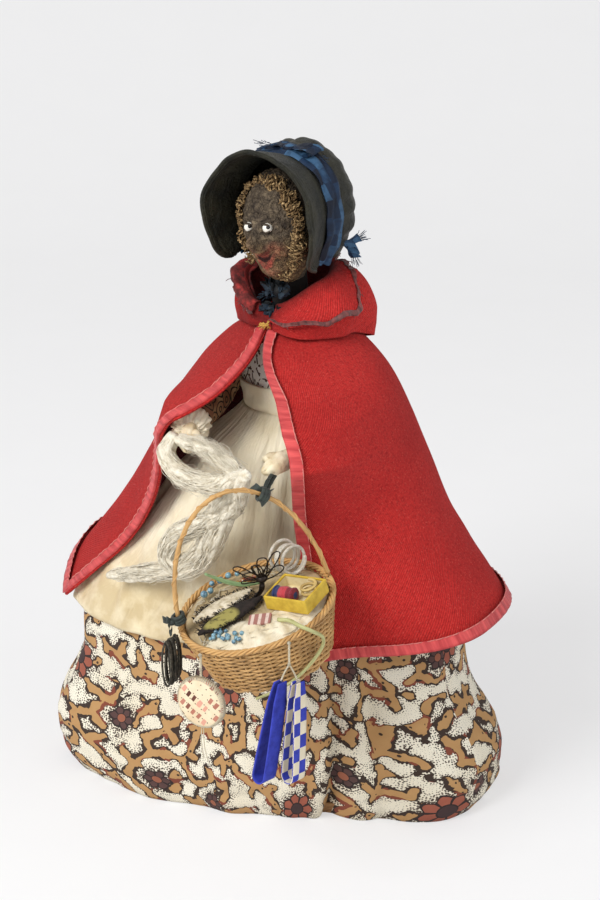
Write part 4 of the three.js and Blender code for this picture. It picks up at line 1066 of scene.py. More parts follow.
def drape_over(side, hang, angle, height):
    """How far the sleeve of that side lifts the cloak."""
    wrist = ARMS[side][-1]
    wrist_angle = math.atan2(wrist[1], wrist[0]) / RAD
    wrist_reach = math.hypot(wrist[0], wrist[1]) + SLEEVE_END + CLOTH + 1.4
    lift = max(0, wrist_reach - cloak_cone(wrist_angle, wrist[2]))
    rise_from, steep = DRAPE_RISE[side]
    above = clamp((CLOAK_TOP - height) / (CLOAK_TOP - wrist[2] - rise_from)) ** steep
    below = clamp((height - CLOAK_HEM) / (wrist[2] - CLOAK_HEM - 4)) ** hang
    return lift * max(0, min(above, below)) * bell(turn_between(angle, wrist_angle), DRAPE_SPREAD)


def cloak_reach(angle, height):
    drape = drape_over("right", 1.3, angle, height) + drape_over("left", 2.4, angle, height)
    fall = max(0, (CLOAK_TOP - height) / (CLOAK_TOP - CLOAK_HEM))
    flare = CORNER_FLARE * fall ** 3 * bell(turn_between(angle, CLOAK_RIGHT_EDGE[0][1]), 20)
    flare += HEM_FOLD * fall ** 3 * (bell(turn_between(angle, 16), 12) - bell(turn_between(angle, 52), 19))
    a = angle * RAD
    folds = math.cos(6 * a + 1.1) + 0.8 * math.cos(9 * a + 2.6) + 0.5 * math.cos(4 * a)
    free = cloak_cone(angle, height) + drape + flare + 1.5 * fall ** 2 * folds
    worn = skirt_reach(angle, height) + APRON_LIFT + 2.5 * CLOTH + 2.2 - 2 * max(0, height - WAIST)
    return (free + worn + math.hypot(free - worn, 3)) / 2


def cloak_point(u, v):
    level = blend(CLOAK_TOP, CLOAK_HEM, v ** 1.25)
    left = through(CLOAK_LEFT_EDGE, 1, level)
    right = through(CLOAK_RIGHT_EDGE, 1, level) + 360
    angle = blend(left, right, u)
    height = blend(CLOAK_TOP, through(CLOAK_HEM_LEVELS, 1, angle), v ** 1.25)
    return polar(angle, cloak_reach(angle, height), height)


def cloak_wool(name, colour, dark, neck_shade_and_soil=0.0):
    """Fulled wool with a fine twill under the nap, darkened near the neck where that is asked for, as painted
    shade under the bonnet and chin together with soil.
    """
    look = Look(name, 0.95, {"Sheen Weight": 0.03, "Sheen Roughness": 0.45, "Specular IOR Level": 0.12})
    place = look.cloth()
    slant = look.turned(place, 45)
    twill = look.wave(0.85, slant, "X", 1.2, 2)
    nap = look.noise(1.1, 4, rough=0.7)
    worn = look.between(look.noise(45, 4), 0.35, 0.7)
    shade = look.mix(colour, dark, look.times(worn, 0.6))
    shade = look.mix(shade, dark, look.between(nap, 0.46, 0.7))
    shade = look.mix(shade, dark, look.times(twill, 0.5))
    fleck = look.between(look.noise(0.7, 2, look.shifted(look.body(), 9, 3)), 0.58, 0.8)
    shade = look.mix(shade, rgb(218, 96, 86), look.times(fleck, 0.8))
    if neck_shade_and_soil:
        # Darker near the neck: painted shade under the bonnet and chin, together with soil.
        reach = look.length(look.stretched(look.body(), 1, 1, 0))
        reach = look.plus(reach, look.times(look.noise(6, 3), 5))
        shade = look.mix(shade, rgb(64, 20, 18), look.times(look.between(reach, 27, 20), neck_shade_and_soil))
    look.paint(shade)
    look.bump(nap, 0.4)
    look.bump(twill, 0.2)
    return look


CLOAK_RED = rgb(214, 56, 52)
CLOAK_DARK = rgb(154, 31, 31)
wool_cloth = cloak_wool("cloak_wool", CLOAK_RED, CLOAK_DARK)
hood_wool = cloak_wool("hood_wool", CLOAK_RED, CLOAK_DARK, 0.8)


def cloak_face(u, v):
    p = cloak_point(u, v)
    tall = Vector((p.x, p.y, p.z * 0.4))
    out = v * (0.9 * ripple(tall, 26, 6) + 0.35 * ripple(p, 12, 3))
    return p + outward(p) * out


cloak = Shape().grid(cloak_face, 220, 110, False, laid_flat(430, CLOAK_LENGTH))
# The inside is the cloak's wool in darker shades: painted shade inside the cloak.
inside = cloak_wool("cloak_inside_shaded", rgb(128, 34, 32), rgb(78, 22, 21))
cloak = cloak.make("cloak_cloth", wool_cloth, "doll", "cloak", "cloak_wool", CLOTH + 0.2, inner=inside)


# Ribbon over the cloak's edges

def silk_ribbon(name, light, dark, pitch):
    """Narrow ribbon with creases across it and a soft shine."""
    look = Look(name, 0.5, {"Specular IOR Level": 0.4, "Sheen Weight": 0.1})
    place = look.cloth()
    bars = look.noise(pitch, 2, look.stretched(place, 0.12, 1))
    fade = look.between(look.noise(14, 3), 0.35, 0.7)
    colour = look.mix(light, dark, look.between(bars, 0.36, 0.64))
    look.paint(look.mix(colour, dark, look.times(fade, 0.45)))
    look.bump(bars, 0.6)
    look.bump(look.wave(0.35, place, "Y"), 0.05)
    return look


BINDING_WIDTH = 5
binding_silk = silk_ribbon("binding_silk", rgb(226, 88, 86), rgb(178, 46, 50), 2.6)
BINDING_LIFT = 1.6
BINDING_STEPS = 420
EDGE_SHARE = 0.2
EDGE_TOP = 0.035
NUDGE = 0.01


def edge_path():
    """Places (u, v) on the cloak, down one front edge, along the hem and up the other edge."""
    spots = []
    for k in range(BINDING_STEPS + 1):
        t = k / BINDING_STEPS
        if t < EDGE_SHARE:
            spots.append((0.0, blend(EDGE_TOP, 1, t / EDGE_SHARE)))
        elif t > 1 - EDGE_SHARE:
            spots.append((1.0, blend(1, EDGE_TOP, (t - 1 + EDGE_SHARE) / EDGE_SHARE)))
        else:
            spots.append(((t - EDGE_SHARE) / (1 - 2 * EDGE_SHARE), 1.0))
    return spots


def cloth_across(edge, inwards, v):
    """Millimetres of cloth for one unit of u, beside an edge of the cloak."""
    return (cloak_point(edge, v) - cloak_point(edge + inwards * NUDGE, v)).length / NUDGE


def binding_strip(lift):
    """Points of the ribbon from its inner edge to the cloak's edge at each step."""
    rows = []
    face = lifted(cloak_point, lift)
    for u, v in edge_path():
        near_left, near_right = cloth_across(0, 1, v), cloth_across(1, -1, v)
        row = []
        for a in range(5):
            inset = BINDING_WIDTH * (1 - a / 4)
            inner_u = clamp(u, inset / near_left, 1 - inset / near_right)
            inner_v = min(v, 1 - inset / CLOAK_LENGTH * 0.8)
            row.append(face(inner_u, max(inner_v, 0.02)))
        rows.append(row)
    return rows


strip = binding_strip(BINDING_LIFT)
under = binding_strip(-BINDING_LIFT)
strip_lengths = running_lengths([row[2] for row in strip])


def binding_face(u, v):
    """Ribbon folded over the edge: 0 to 0.5 lies outside, 0.5 to 1 inside."""
    k = round(v * BINDING_STEPS)
    a = round(u * 8)
    if a > 4:
        return under[k][8 - a]
    pucker = 0.14 * math.cos(strip_lengths[k] * 2.3 + 1.9 * math.sin(strip_lengths[k] * 0.31))
    return strip[k][a] + (strip[k][2] - under[k][2]).normalized() * pucker * (0.4 + 0.15 * a)


def binding_flat(u, v):
    return (u * 12, strip_lengths[round(v * BINDING_STEPS)])


binding = Shape().grid(binding_face, 8, BINDING_STEPS, False, binding_flat)
binding.reverse()
binding = binding.make("cloak_ribbon", binding_silk, "doll", "cloak_binding", "binding_ribbon")


# Stitches along the ribbon

thread = two_tone("thread", rgb(226, 150, 140), rgb(196, 96, 92), 3, 2, 0.7)
stitches = Shape()
random.seed(5)
next_stitch = 2.0
for k in range(len(strip) - 3):
    if strip_lengths[k] < next_stitch:
        continue
    next_stitch += 4.2 + random.uniform(-0.8, 0.8)
    out = (strip[k][0] - under[k][0]).normalized()
    start = strip[k][0].lerp(strip[k][1], 0.25) + out * 0.25
    end = strip[k + 2][0].lerp(strip[k + 2][1], 0.1) + out * 0.25
    stitches.tube([start - out * 0.4, start.lerp(end, 0.5) + out * 0.12, end - out * 0.4], 0.2, 5)
stitches = stitches.make("cloak_stitches", thread, "doll", slot="binding_ribbon")


# Hood with its turned-down part, rolled edge and ribbon

HOOD_FOOT = 215
HOOD_TOP = 229.5
HOOD_EDGE_SIDE = 206
HOOD_EDGE_BACK = 191
HOOD_FOOT_REACH = 14.6
HOOD_OPENING = 12


def hood_angle(u):
    return blend(-90 + HOOD_OPENING, 270 - HOOD_OPENING, u)


def hood_point(u, v):
    angle = hood_angle(u)
    front = bell(turn_between(angle, -90), 38)
    top = HOOD_TOP - 12 * front
    edge = blend(HOOD_EDGE_SIDE, HOOD_EDGE_BACK, max(0, math.sin(angle * RAD)) ** 1.5) + 4 * front
    edge_reach = cloak_reach(angle, edge) + CLOTH + 2 + 1.6 * front
    top_reach = blend(19, 17, front)
    rows = [
        (0, HOOD_FOOT_REACH, HOOD_FOOT), (0.22, blend(HOOD_FOOT_REACH, top_reach, 0.35), top - 3),
        (0.42, top_reach, top), (0.62, blend(top_reach, edge_reach, 0.62), top - 4),
        (0.82, edge_reach + 1, blend(top, edge, 0.62)), (1, edge_reach, edge),
    ]
    wavy = 0.8 * v * math.cos(7 * angle * RAD + 0.9)
    return polar(angle, through(rows, 1, v) + wavy, through(rows, 2, v))


HOOD_LAP = 0.066


def hood_face(u, v):
    """The doll's right side laps over the throat, beyond the solid's own end."""
    p = hood_point(blend(0, 1 + HOOD_LAP, u), v)
    out = 0.6 * ripple(p, 11, 2) - 0.5 * abs(ripple(p, 8, 5)) * v
    return p + outward(p) * out


def crushed_lining():
    """Brown-red lining, crushed where it is rolled outwards."""
    look = Look("hood_lining", 0.9)
    tone = look.noise(4, 5, rough=0.65)
    look.paint(look.ramp(tone, (0.34, rgb(56, 26, 24)), (0.5, rgb(108, 40, 38)), (0.66, rgb(168, 56, 52))))
    look.bump(look.noise(3, 4), 0.6)
    look.bump(weave(look, 0.5), 0.08)
    return look


hood_lining = crushed_lining()
hood = Shape().grid(hood_face, 170, 48, False, laid_flat(170, 55))
hood = hood.make("hood_cloth", hood_wool, "doll", "hood", "cloak_wool", CLOTH, inner=hood_lining)
FLAP_EDGE = [
    (-180, 0.62), (-120, 0.7), (-90, 0.74), (-62, 0.8), (-30, 0.83), (-6, 0.82), (10, 0.74), (22, 0.55),
    (40, 0.46), (90, 0.45), (180, 0.62),
]


def flap_edge(angle):
    """How far down the hood its ribbon edge lies: low in front and high behind."""
    return through(FLAP_EDGE, 1, turn_between(angle, 0)) + 0.02 * math.cos(11 * angle * RAD)


flap_base = lifted(hood_point, 1.2)


def flap_point(u, v):
    """The hood's turned-down part, with a wavy edge that curls out."""
    p = flap_base(u, blend(0.3, flap_edge(hood_angle(u)), v))
    wavy = 0.7 + 0.5 * math.cos(17 * u * FULL) + 0.4 * math.cos(9 * u * FULL + 1)
    curl = (max(0, v - 0.7) / 0.3) ** 2 * wavy
    return p + outward(p) * (1.6 * curl + 0.4 * ripple(p, 7, 4)) + upward(0.9 * curl)


TURNED_FROM = 0.74
flap = Shape()
flap.grid(lambda u, v: flap_point(u * TURNED_FROM, v), 170, 16, False, laid_flat(120, 16))
flap = flap.make("hood_flap", hood_wool, "doll", slot="cloak_wool", thick=0.7, inner=hood_lining)


def turned_face(u, v):
    p = flap_point(blend(TURNED_FROM, 0.985, u), blend(-0.12, 1.0, v))
    roll = 4.4 * math.sin(math.pi * v) ** 0.7 * math.sin(math.pi * clamp(0.06 + 0.94 * u)) ** 0.5
    uneven = 0.85 + 0.4 * ripple(p, 5, 6)
    return p + outward(p) * (0.6 + roll * uneven + 0.5 * ripple(p, 3, 9))


turned = Shape().grid(turned_face, 90, 30, False, laid_flat(45, 20)).ruffle(0.3, 3.5)
turned = turned.make("hood_turned_edge", hood_lining, "doll", slot="cloak_wool", thick=0.5)
hood_silk = silk_ribbon("hood_silk", rgb(132, 66, 62), rgb(76, 38, 36), 1.6)


def hood_ribbon_face(u, v):
    start = flap_point(u, 0.915)
    end = flap_point(u, 1.0)
    mid = start.lerp(end, v)
    lift = 0.35 + 0.6 * math.sin(v * math.pi * 0.9) + 0.25 * math.cos(u * FULL * 41 + v)
    return mid + outward(end) * (lift + 0.3 * ripple(mid, 3, 2)) + upward(0.35)


FRAYED_THREADS = 60
FRAY_RADIUS = 0.12
hood_ribbon = Shape().grid(hood_ribbon_face, 300, 8, False, lambda u, v: (v * 3, u * 170))
random.seed(23)
for _ in range(FRAYED_THREADS):
    share = random.uniform(0.01, 0.985)
    root = hood_ribbon_face(share, random.uniform(0.2, 1.0))
    aim = outward(root) * random.uniform(0.2, 1.0) + random_vector((-1, 1), (-1, 1), (-1, 0.6))
    hood_ribbon.tube([root, root + aim * 0.7, root + aim * 1.2 - upward(0.5)], FRAY_RADIUS, 3)
hood_ribbon.make("hood_ribbon", hood_silk, "doll", "hood_binding", "hood_ribbon", 0.3)


# Gold thread at the throat

GOLD_TONES = rgb(224, 184, 96), rgb(166, 118, 48)
gold = two_tone("gold_thread", *GOLD_TONES, 0.8, 2, 0.45, sockets={"Metallic": 0.35})
throat = hood_face(0.982, 0.9)
knot = Shape()
random.seed(11)
for k in range(15):
    turn = random.uniform(-0.9, 0.9) + (math.pi / 2 if k % 5 == 0 else 0)
    reach = random.uniform(1.6, 3.0)
    aim = view_right * (reach * math.cos(turn)) + upward(reach * math.sin(turn) * 0.8)
    aside = view_right * random.uniform(-0.8, 0.8) + upward(random.uniform(-0.9, 0.9))
    middle = throat + aside + back * (1.1 + 0.05 * k)
    ends = [middle - aim - back * 0.7, middle, middle + aim - back * 0.7]
    knot.tube(smooth_path(ends, 9), 0.2, 5)
knot.make("throat_thread", gold, "doll", "throat_stitch", "gold_thread")


# Head

HEAD = Vector((1.5, -9, 251))
HEAD_HALF = (15.2, 16, 22.5)
FACE_TURN = Euler((0, -8 * RAD, -8 * RAD), "XYZ").to_matrix()
POLE = 0.02


def head_point(u, v, out=0.0):
    """The head as a long ball with modelled features, at a distance out from it."""
    side, forth, up = on_ball(u, v)
    front = max(0, -forth)
    smile = 1.3 * side * side
    nose = 8.6 * front ** 6 * bell(side, 0.11) * bell(up + 0.17, 0.14)
    nostril = 1.2 * front ** 4 * bell(abs(side) - 0.15, 0.06) * bell(up + 0.26, 0.07)
    brow = 1.3 * front ** 3 * bell(up - 0.27, 0.1)
    socket = 1.3 * front ** 3 * bell(abs(side) - 0.3, 0.13) * bell(up - 0.08, 0.1)
    cheek = 1.6 * front ** 2 * bell(abs(side) - 0.45, 0.17) * bell(up + 0.28, 0.15)
    lip_lines = bell(up + 0.4 - smile, 0.045) + bell(up + 0.62 - smile, 0.05)
    lips = 1.3 * front ** 4 * bell(side, 0.3) * lip_lines
    mouth = 1.6 * front ** 4 * bell(side, 0.33) * bell(up + 0.51 - smile, 0.04)
    fold = 1.1 * front ** 2 * bell(abs(side) - 0.4 - 0.3 * (up + 0.4), 0.04) * bell(up + 0.42, 0.22)
    chin = 3.2 * front ** 2 * bell(side, 0.22) * bell(up + 0.82, 0.13)
    swell = 1 + (nose + nostril + brow - socket + cheek + lips - mouth - fold + chin) / HEAD_HALF[1]
    jaw = 1 - 0.1 * max(0, -up)
    longer = 1 + 0.09 * max(0, -up)
    wide, deep, tall = (half + out for half in HEAD_HALF)
    return FACE_TURN @ Vector((side * jaw * wide, forth * swell * deep, up * longer * tall)) + HEAD


def head_face(u, v):
    p = head_point(u, blend(POLE, 1 - POLE, v))
    away = (p - HEAD).normalized()
    lines = Vector((p.x * 0.55, p.y * 0.8, p.z * 1.4))
    wrinkle = 1.3 * abs(ripple(lines, 6, 7)) + 0.8 * abs(ripple(p, 3.4, 2)) + 0.3 * ripple(p, 1.4, 3) - 0.6
    return p + away * wrinkle


def face_flat(u, v):
    """The face seen from the front, 20 mm wide; the back of the head lies outside it."""
    side, forth, up = on_ball(u, blend(POLE, 1 - POLE, v))
    return (10 * side, 10 * up if forth < 0 else 30)


def crack_distance(look):
    """Distance to the nearest line of a bent net of cracks."""
    warp = look.add("TexNoise", look.body())
    warp.inputs["Scale"].default_value = 0.3
    pushed = look.add("VectorMath", warp.outputs["Color"], (9, 9, 9), operation="MULTIPLY").outputs[0]
    long = look.stretched(look.body(), 0.7, 0.8, 1.2)
    bent = look.add("VectorMath", long, pushed, operation="ADD").outputs[0]
    return look.distance(4.2, "DISTANCE_TO_EDGE", place=bent, flat=False)


def painted_face():
    """Dark painted and wrinkled face, golden below, with a red-brown mouth and a painted highlight on the
    nose.
    """
    look = Look("painted_face", 0.75, {"Specular IOR Level": 0.25})
    place = look.cloth()
    mottle = look.noise(3.0, 5, rough=0.65)
    dark = look.ramp(mottle, (0.3, rgb(50, 41, 34)), (0.5, rgb(88, 76, 62)), (0.72, rgb(128, 112, 90)))
    gold = look.ramp(mottle, (0.32, rgb(58, 42, 32)), (0.5, rgb(110, 86, 58)), (0.7, rgb(164, 136, 94)))
    aside, above = look.axis(place, 0), look.axis(place, 1)
    low = look.between(above, -0.5, -4.0)
    colour = look.mix(dark, gold, look.times(low, 0.85))
    lowered = look.plus(above, look.times(look.times(aside, aside), -0.13))
    smile = look.add("CombineXYZ", aside, lowered).outputs[0]
    rough_edge = look.between(look.noise(2.4, 4), 0.2, 0.5)
    marks = (
        (place, (4.4, -3.2, 0), (3.0, 1.8, 9), 0.7, rgb(150, 78, 62)),
        (place, (-4.2, -3.2, 0), (2.8, 1.6, 9), 0.5, rgb(150, 78, 62)),
        # The next mark is a painted highlight on the tip of the nose.
        (place, (0, -1.9, 0), (1.1, 2.2, 9), 0.9, rgb(146, 118, 90)),
        (place, (0.4, -7.2, 0), (3.4, 1.8, 9), 1.0, rgb(164, 112, 86)),
        (smile, (0, -6.0, 0), (4.2, 1.0, 9), 2.4, rgb(158, 76, 62)),
        (smile, (0, -4.4, 0), (4.0, 0.8, 9), 2.0, rgb(132, 64, 52)),
    )
    for spot_place, centre, half, share, tint in marks:
        mark = look.times(look.spot(spot_place, centre, half), share, limit=True)
        colour = look.mix(colour, tint, look.times(mark, rough_edge, limit=True))
    gap = look.times(look.spot(smile, (0, -5.15, 0), (3.5, 0.5, 9)), 3, limit=True)
    colour = look.mix(colour, rgb(52, 16, 13), gap)
    crack = crack_distance(look)
    colour = look.mix(colour, rgb(34, 26, 22), look.times(look.between(crack, 0.12, 0.0), 0.4))
    look.paint(colour)
    look.bump(look.between(crack, 0.0, 0.3), 0.8)
    look.bump(look.noise(1.1, 5, rough=0.7), 0.6)
    return look


face_paint = painted_face()
head = Shape().stuffed(head_face, 160, 130, face_flat)
head.make("head_face", face_paint, "head", "head", "face_paint")


# Neck

NECK_RADIUS = 7.4
neck_cotton = cloth_look("neck_cloth", rgb(34, 28, 25), rgb(22, 18, 17))
neck = Shape().tube([(0, 0, TORSO_TOP + GAP), (0, 0, 220), (0, -2, 232), (0, -4, 239)], NECK_RADIUS, 24)
neck.make("neck_cloth", neck_cotton, "head", slot="face_paint")


# Eyes

def eye_paint():
    """White bead with a dark spot."""
    look = Look("eye_paint", 0.25, {"Specular IOR Level": 0.5})
    ring = look.spot(look.cloth(), (0, 0, 0), (1, 1, 9))
    white = look.mix(rgb(244, 242, 234), rgb(220, 212, 196), look.noise(1.2, 2))
    look.paint(look.mix(white, rgb(22, 17, 15), look.above(ring, 0.6)))
    return look


EYE_RADIUS = 2.0
GAZE = Vector((0.56, -0.66, 0.42)).normalized()
FACING = GAZE.to_track_quat("Z", "Y")
LID_TURN = 1.15
LIDS = ((1.25, 0.45), (-1.3, 0.35))
eye_white = eye_paint()


def eye_flat(u, v):
    return (v * math.pi * math.cos(u * FULL), v * math.pi * math.sin(u * FULL))


def add_eye(name, centre):
    """Bead eye between two rolled lids."""
    def eye_face(u, v):
        return centre + FACING @ (on_ball(u, blend(POLE, 1 - POLE, v)) * EYE_RADIUS)

    Shape().stuffed(eye_face, 28, 20, eye_flat).make(name + "_bead", eye_white, "head", name, "eye_white")
    lid = Shape()
    for row, radius in LIDS:
        arc = []
        for k in range(13):
            turn = blend(-LID_TURN, LID_TURN, k / 12)
            out = Vector((math.sin(turn), -math.cos(turn), row * math.cos(turn))).normalized()
            arc.append(centre + FACE_TURN @ out * (EYE_RADIUS + 0.1))
        lid.tube(arc, radius, 8)
    lid.make(name + "_lids", face_paint, "head", slot="face_paint")


for side, name in ((-1, "right_eye"), (1, "left_eye")):
    add_eye(name, head_point(0.75 + side * 0.048, 0.475, 0.7))


# Crimped trim round the face

def frill_spot(turn):
    x = math.cos(turn) * (HEAD_HALF[0] * 0.92 + 1.7)
    z = math.sin(turn) * (HEAD_HALF[2] * 0.84 + 1.7)
    return FACE_TURN @ Vector((x, -7, z)) + HEAD


HAIR_TONES = (0.32, rgb(60, 44, 30)), (0.5, rgb(134, 106, 70)), (0.68, rgb(202, 172, 124))
hair = Look("hair", 0.85)
hair.paint(hair.ramp(hair.noise(1.3, 3), *HAIR_TONES))
hair.bump(hair.noise(0.5, 3, hair.stretched(hair.cloth(), 4, 0.6)), 0.25)
frill = Shape()
random.seed(3)
CURLS = 420
CURL_STEPS = 16
for number in range(CURLS):
    near_side = random.random() < 0.62
    turn = random.uniform(-78, 80) if near_side else random.uniform(80, 226)
    if field.noise(Vector((turn * 0.09, 4, 0))) < -0.22 or (-78 < turn < -30 and number % 3):
        continue
    out = FACE_TURN @ Vector((math.cos(turn * RAD), 0, math.sin(turn * RAD)))
    along = FACE_TURN @ Vector((-math.sin(turn * RAD), 0, math.cos(turn * RAD)))
    inset = random.uniform(-3.6, 0.6) if near_side else random.uniform(-1.4, 0.3)
    root = frill_spot(turn * RAD) + out * inset + Vector((0, random.uniform(-3.0, 1.6), 0))
    size = random.uniform(0.25, 1.0) * (1.5 if near_side else 0.9)
    spin = random.uniform(0, FULL)
    aim = (along + out * random.uniform(-0.9, 0.9) + Vector((0, random.uniform(-0.7, 0.7), 0))).normalized()
    other = aim.cross(Vector((0, 1, 0))).normalized()
    third = aim.cross(other)
    curl = []
    for k in range(CURL_STEPS):
        a = spin + k * 0.85
        aside = (other * math.cos(a) + third * math.sin(a)) * size
        curl.append(root + aim * (0.26 * (k - CURL_STEPS / 2)) + aside)
    frill.tube(curl, random.uniform(0.18, 0.36), 4)
frill.ruffle(1.0, 2.4)
frill.make("hair_trim", hair, "head", "hair_frill", "hair")


# Silk bonnet

BAND_Y = -4
BRIM_FRONT = -28
BONNET_AXIS = (0.6, 257)
BAND_HALF = (20.3, 20.8)
BRIM_HALF = (24.6, 27.5)
CROWN_DEPTH = 27
CROWN_NARROW = 0.945
CROWN_TALL = 1.02
BRIM_START = -52
SIDE_TUCK = 0.3


def arch_point(angle, half_x, half_z, y):
    rise = math.sin(angle * RAD)
    reach = math.cos(angle * RAD)
    if rise < 0:
        reach = math.copysign(1 - SIDE_TUCK * rise * rise, reach)
    return Vector((BONNET_AXIS[0] + half_x * reach, y, BONNET_AXIS[1] + half_z * rise))


def brim_point(u, v):
    angle = blend(180 - BRIM_START, BRIM_START, u)
    share = v ** 0.8
    ridge = 0.35 * bell(v - 0.87, 0.025) - 0.2 * bell(v - 0.82, 0.02) + 0.3 * v * math.sin(u * 31)
    low = max(0, -math.sin(angle * RAD))
    near_end = clamp(1 - min(u, 1 - u) / 0.09)
    rounded = 9 * (1 - math.sqrt(1 - near_end ** 2 * 0.98))
    y = blend(BAND_Y, BRIM_FRONT + 7 * low + rounded, v) + 0.6 * v * math.sin(u * 17 + 1)
    p = arch_point(angle, blend(BAND_HALF[0], BRIM_HALF[0], share) + ridge,
                   blend(BAND_HALF[1], BRIM_HALF[1], share) + ridge, y)
    out = Vector((p.x - BONNET_AXIS[0], 0, p.z - BONNET_AXIS[1])).normalized()
    return p + out * (0.9 * ripple(p, 8, 2) * v)


def bonnet_silk():
    """Nearly black silk, puckered and rubbed pale in places."""
    shine = {"Specular IOR Level": 0.2, "Sheen Weight": 0.03, "Sheen Roughness": 0.4}
    look = Look("bonnet_silk", 0.5, shine)
    colour = look.patchy(rgb(22, 23, 17), rgb(48, 46, 33), 9, 4, 0.35, 0.7)
    rub = look.between(look.noise(3, 5, rough=0.7), 0.6, 0.8)
    look.paint(look.mix(colour, rgb(88, 80, 62), look.times(rub, 0.4)))
    look.bump(look.noise(7, 3, swirl=1.0), 1.8)
    look.bump(look.noise(3, 4), 0.5)
    look.bump(look.wave(0.5, look.cloth(), "Y", 0.6), 0.08)
    return look


silk = bonnet_silk()
brim = Shape().grid(brim_point, 150, 44, False, laid_flat(120, 26))
brim = brim.make("brim_silk", silk, "head", "bonnet_brim", "bonnet_silk", 1.2)
piping = Shape().tube([brim_point(k / 90, 1.0) for k in range(91)], 0.85, 8)
piping.make("brim_piping", silk, "head", slot="bonnet_silk")
CROWN_OUTLINE = [
    (0, 21.5), (0.15, 23.2), (0.4, 23.6), (0.62, 21.5), (0.8, 17), (0.92, 10.5), (0.985, 4), (1, 0.6),
]


def crown_point(u, v):
    s = math.sin(v * math.pi / 2)
    turn = -u * FULL
    mid = math.sin(math.pi * clamp(s))
    wander = turn + 0.16 * math.sin(3 * turn)
    waves = 0.016 * math.cos(14 * wander) + 0.01 * math.cos(23 * turn + 1) + 0.014 * math.cos(5 * turn)
    radius = through(CROWN_OUTLINE, 1, s) * (1 + mid * waves)
    rise = math.sin(turn)
    square = 1 + 0.3 * max(0, -rise) * abs(math.cos(turn)) * (1 - s * s)
    x = BONNET_AXIS[0] + CROWN_NARROW * square * radius * math.cos(turn)
    z = BONNET_AXIS[1] + CROWN_TALL * square * radius * rise
    p = Vector((x, BAND_Y + GAP + s * CROWN_DEPTH, z))
    return p + Vector((0, 0.8 * mid * ripple(p, 9, 4), 0.5 * mid * ripple(p, 9, 9)))


crown = Shape().grid(crown_point, 170, 46, True, laid_flat(140, 34))
crown = crown.make("crown_silk", silk, "head", "bonnet_crown", "bonnet_silk", 0.9)


# Ribbon and bows of the bonnet

NAVY = (rgb(9, 10, 11), rgb(14, 17, 20), rgb(30, 44, 56))
FADED = (rgb(12, 20, 36), rgb(25, 47, 74), rgb(62, 96, 128))


def blue_silk(name, shift, tones):
    """Blue ribbon in folded patches, faded where the light reached it."""
    look = Look(name, 0.55, {"Specular IOR Level": 0.22})
    place = look.cloth()
    cell = look.cells(6.0, metric="CHEBYCHEV", place=look.shifted(place, shift, 2 * shift), spread=0.4)
    patch = look.axis(cell.outputs["Color"], 0)
    fade = look.noise(7, 2, look.shifted(look.body(), shift, 0))
    tone = look.plus(look.times(patch, 0.55), look.times(fade, 0.45))
    bars = look.noise(2.4, 2, look.stretched(place, 0.25, 1))
    colour = look.ramp(tone, (0.3, tones[0]), (0.5, tones[1]), (0.74, tones[2]))
    look.paint(look.mix(colour, tones[0], look.times(look.between(bars, 0.5, 0.75), 0.6)))
    look.bump(bars, 0.4)
    look.bump(look.wave(0.4, place, "Y"), 0.06)
    return look


def band_point(u, v):
    angle = blend(180 - BRIM_START + 12, BRIM_START - 12, u)
    crease = 0.35 * math.cos(v * 14 + 3 * math.sin(u * 9)) + 0.3 * math.sin(u * 60 + 4 * v)
    out = 2.4 + 1.9 * v + crease
    y = BAND_Y - 6.3 + 9.5 * v + 0.7 * math.sin(u * 23)
    return arch_point(angle, BAND_HALF[0] + out, BAND_HALF[1] + out, y)


band = Shape().grid(band_point, 150, 12, False, lambda u, v: (v * 14, u * 110))
band.make("bonnet_band", blue_silk("ribbon_blue", 0, FADED), "head", "bonnet_ribbon", "blue_ribbon", 0.35)


def fray(shape, start, direction, count, length, spread, seed):
    """Loose threads at the end of a ribbon."""
    random.seed(seed)
    direction = Vector(direction).normalized()
    for _ in range(count):
        aside = random_vector((-1, 1), (-1, 1), (-1, 1))
        root = start + aside * spread * 0.6
        reach = direction * length * random.uniform(0.6, 1.1)
        shape.tube([root, root + reach * 0.5 + aside * 0.3, root + reach + aside * 0.9], FRAY_RADIUS, 3)


def ribbon_loop(shape, knot, aim, lift, across, width, crush):
    """Loop of ribbon from a knot out to a tip and back."""
    tip, lift = knot + Vector(aim), Vector(lift)
    half_way = knot.lerp(tip, 0.5)
    spots = [knot, half_way + lift, tip + lift * 0.35, tip - lift * 0.5, half_way - lift * 0.7, knot]

    def width_at(v):
        return width * (0.45 + 0.55 * math.sin(math.pi * v) ** 0.6)

    start = len(shape.points)
    shape.ribbon(smooth_path(spots, 26), across, width_at)
    shape.ruffle(crush, 2.5, start, 3.0)


def ribbon_tail(shape, knot, middle, tip, across, width, seed, threads=14):
    """End of ribbon that runs out from a knot and frays."""
    start = len(shape.points)
    line = smooth_path([knot, knot + Vector(middle), knot + Vector(tip)], 18)
    shape.ribbon(line, across, lambda v: width * (0.55 + 0.45 * v))
    shape.ruffle(0.5, 2.8, start, seed)
    fray(shape, line[-1], line[-1] - line[-3], threads, 2.6, width * 0.5, seed)


def add_crumple(shape, knot, count, from_share, aims, lifts, width, crush):
    """Loops of ribbon that are crushed together, each towards a drawn aim."""
    for _ in range(count):
        aim = random_vector(*aims)
        across = Vector((random.uniform(-0.6, 0.6), random.uniform(-0.3, 0.6), 1))
        lift = random_vector(*lifts)
        ribbon_loop(shape, knot + aim * from_share, aim * (1 - from_share), lift, across, width, crush)


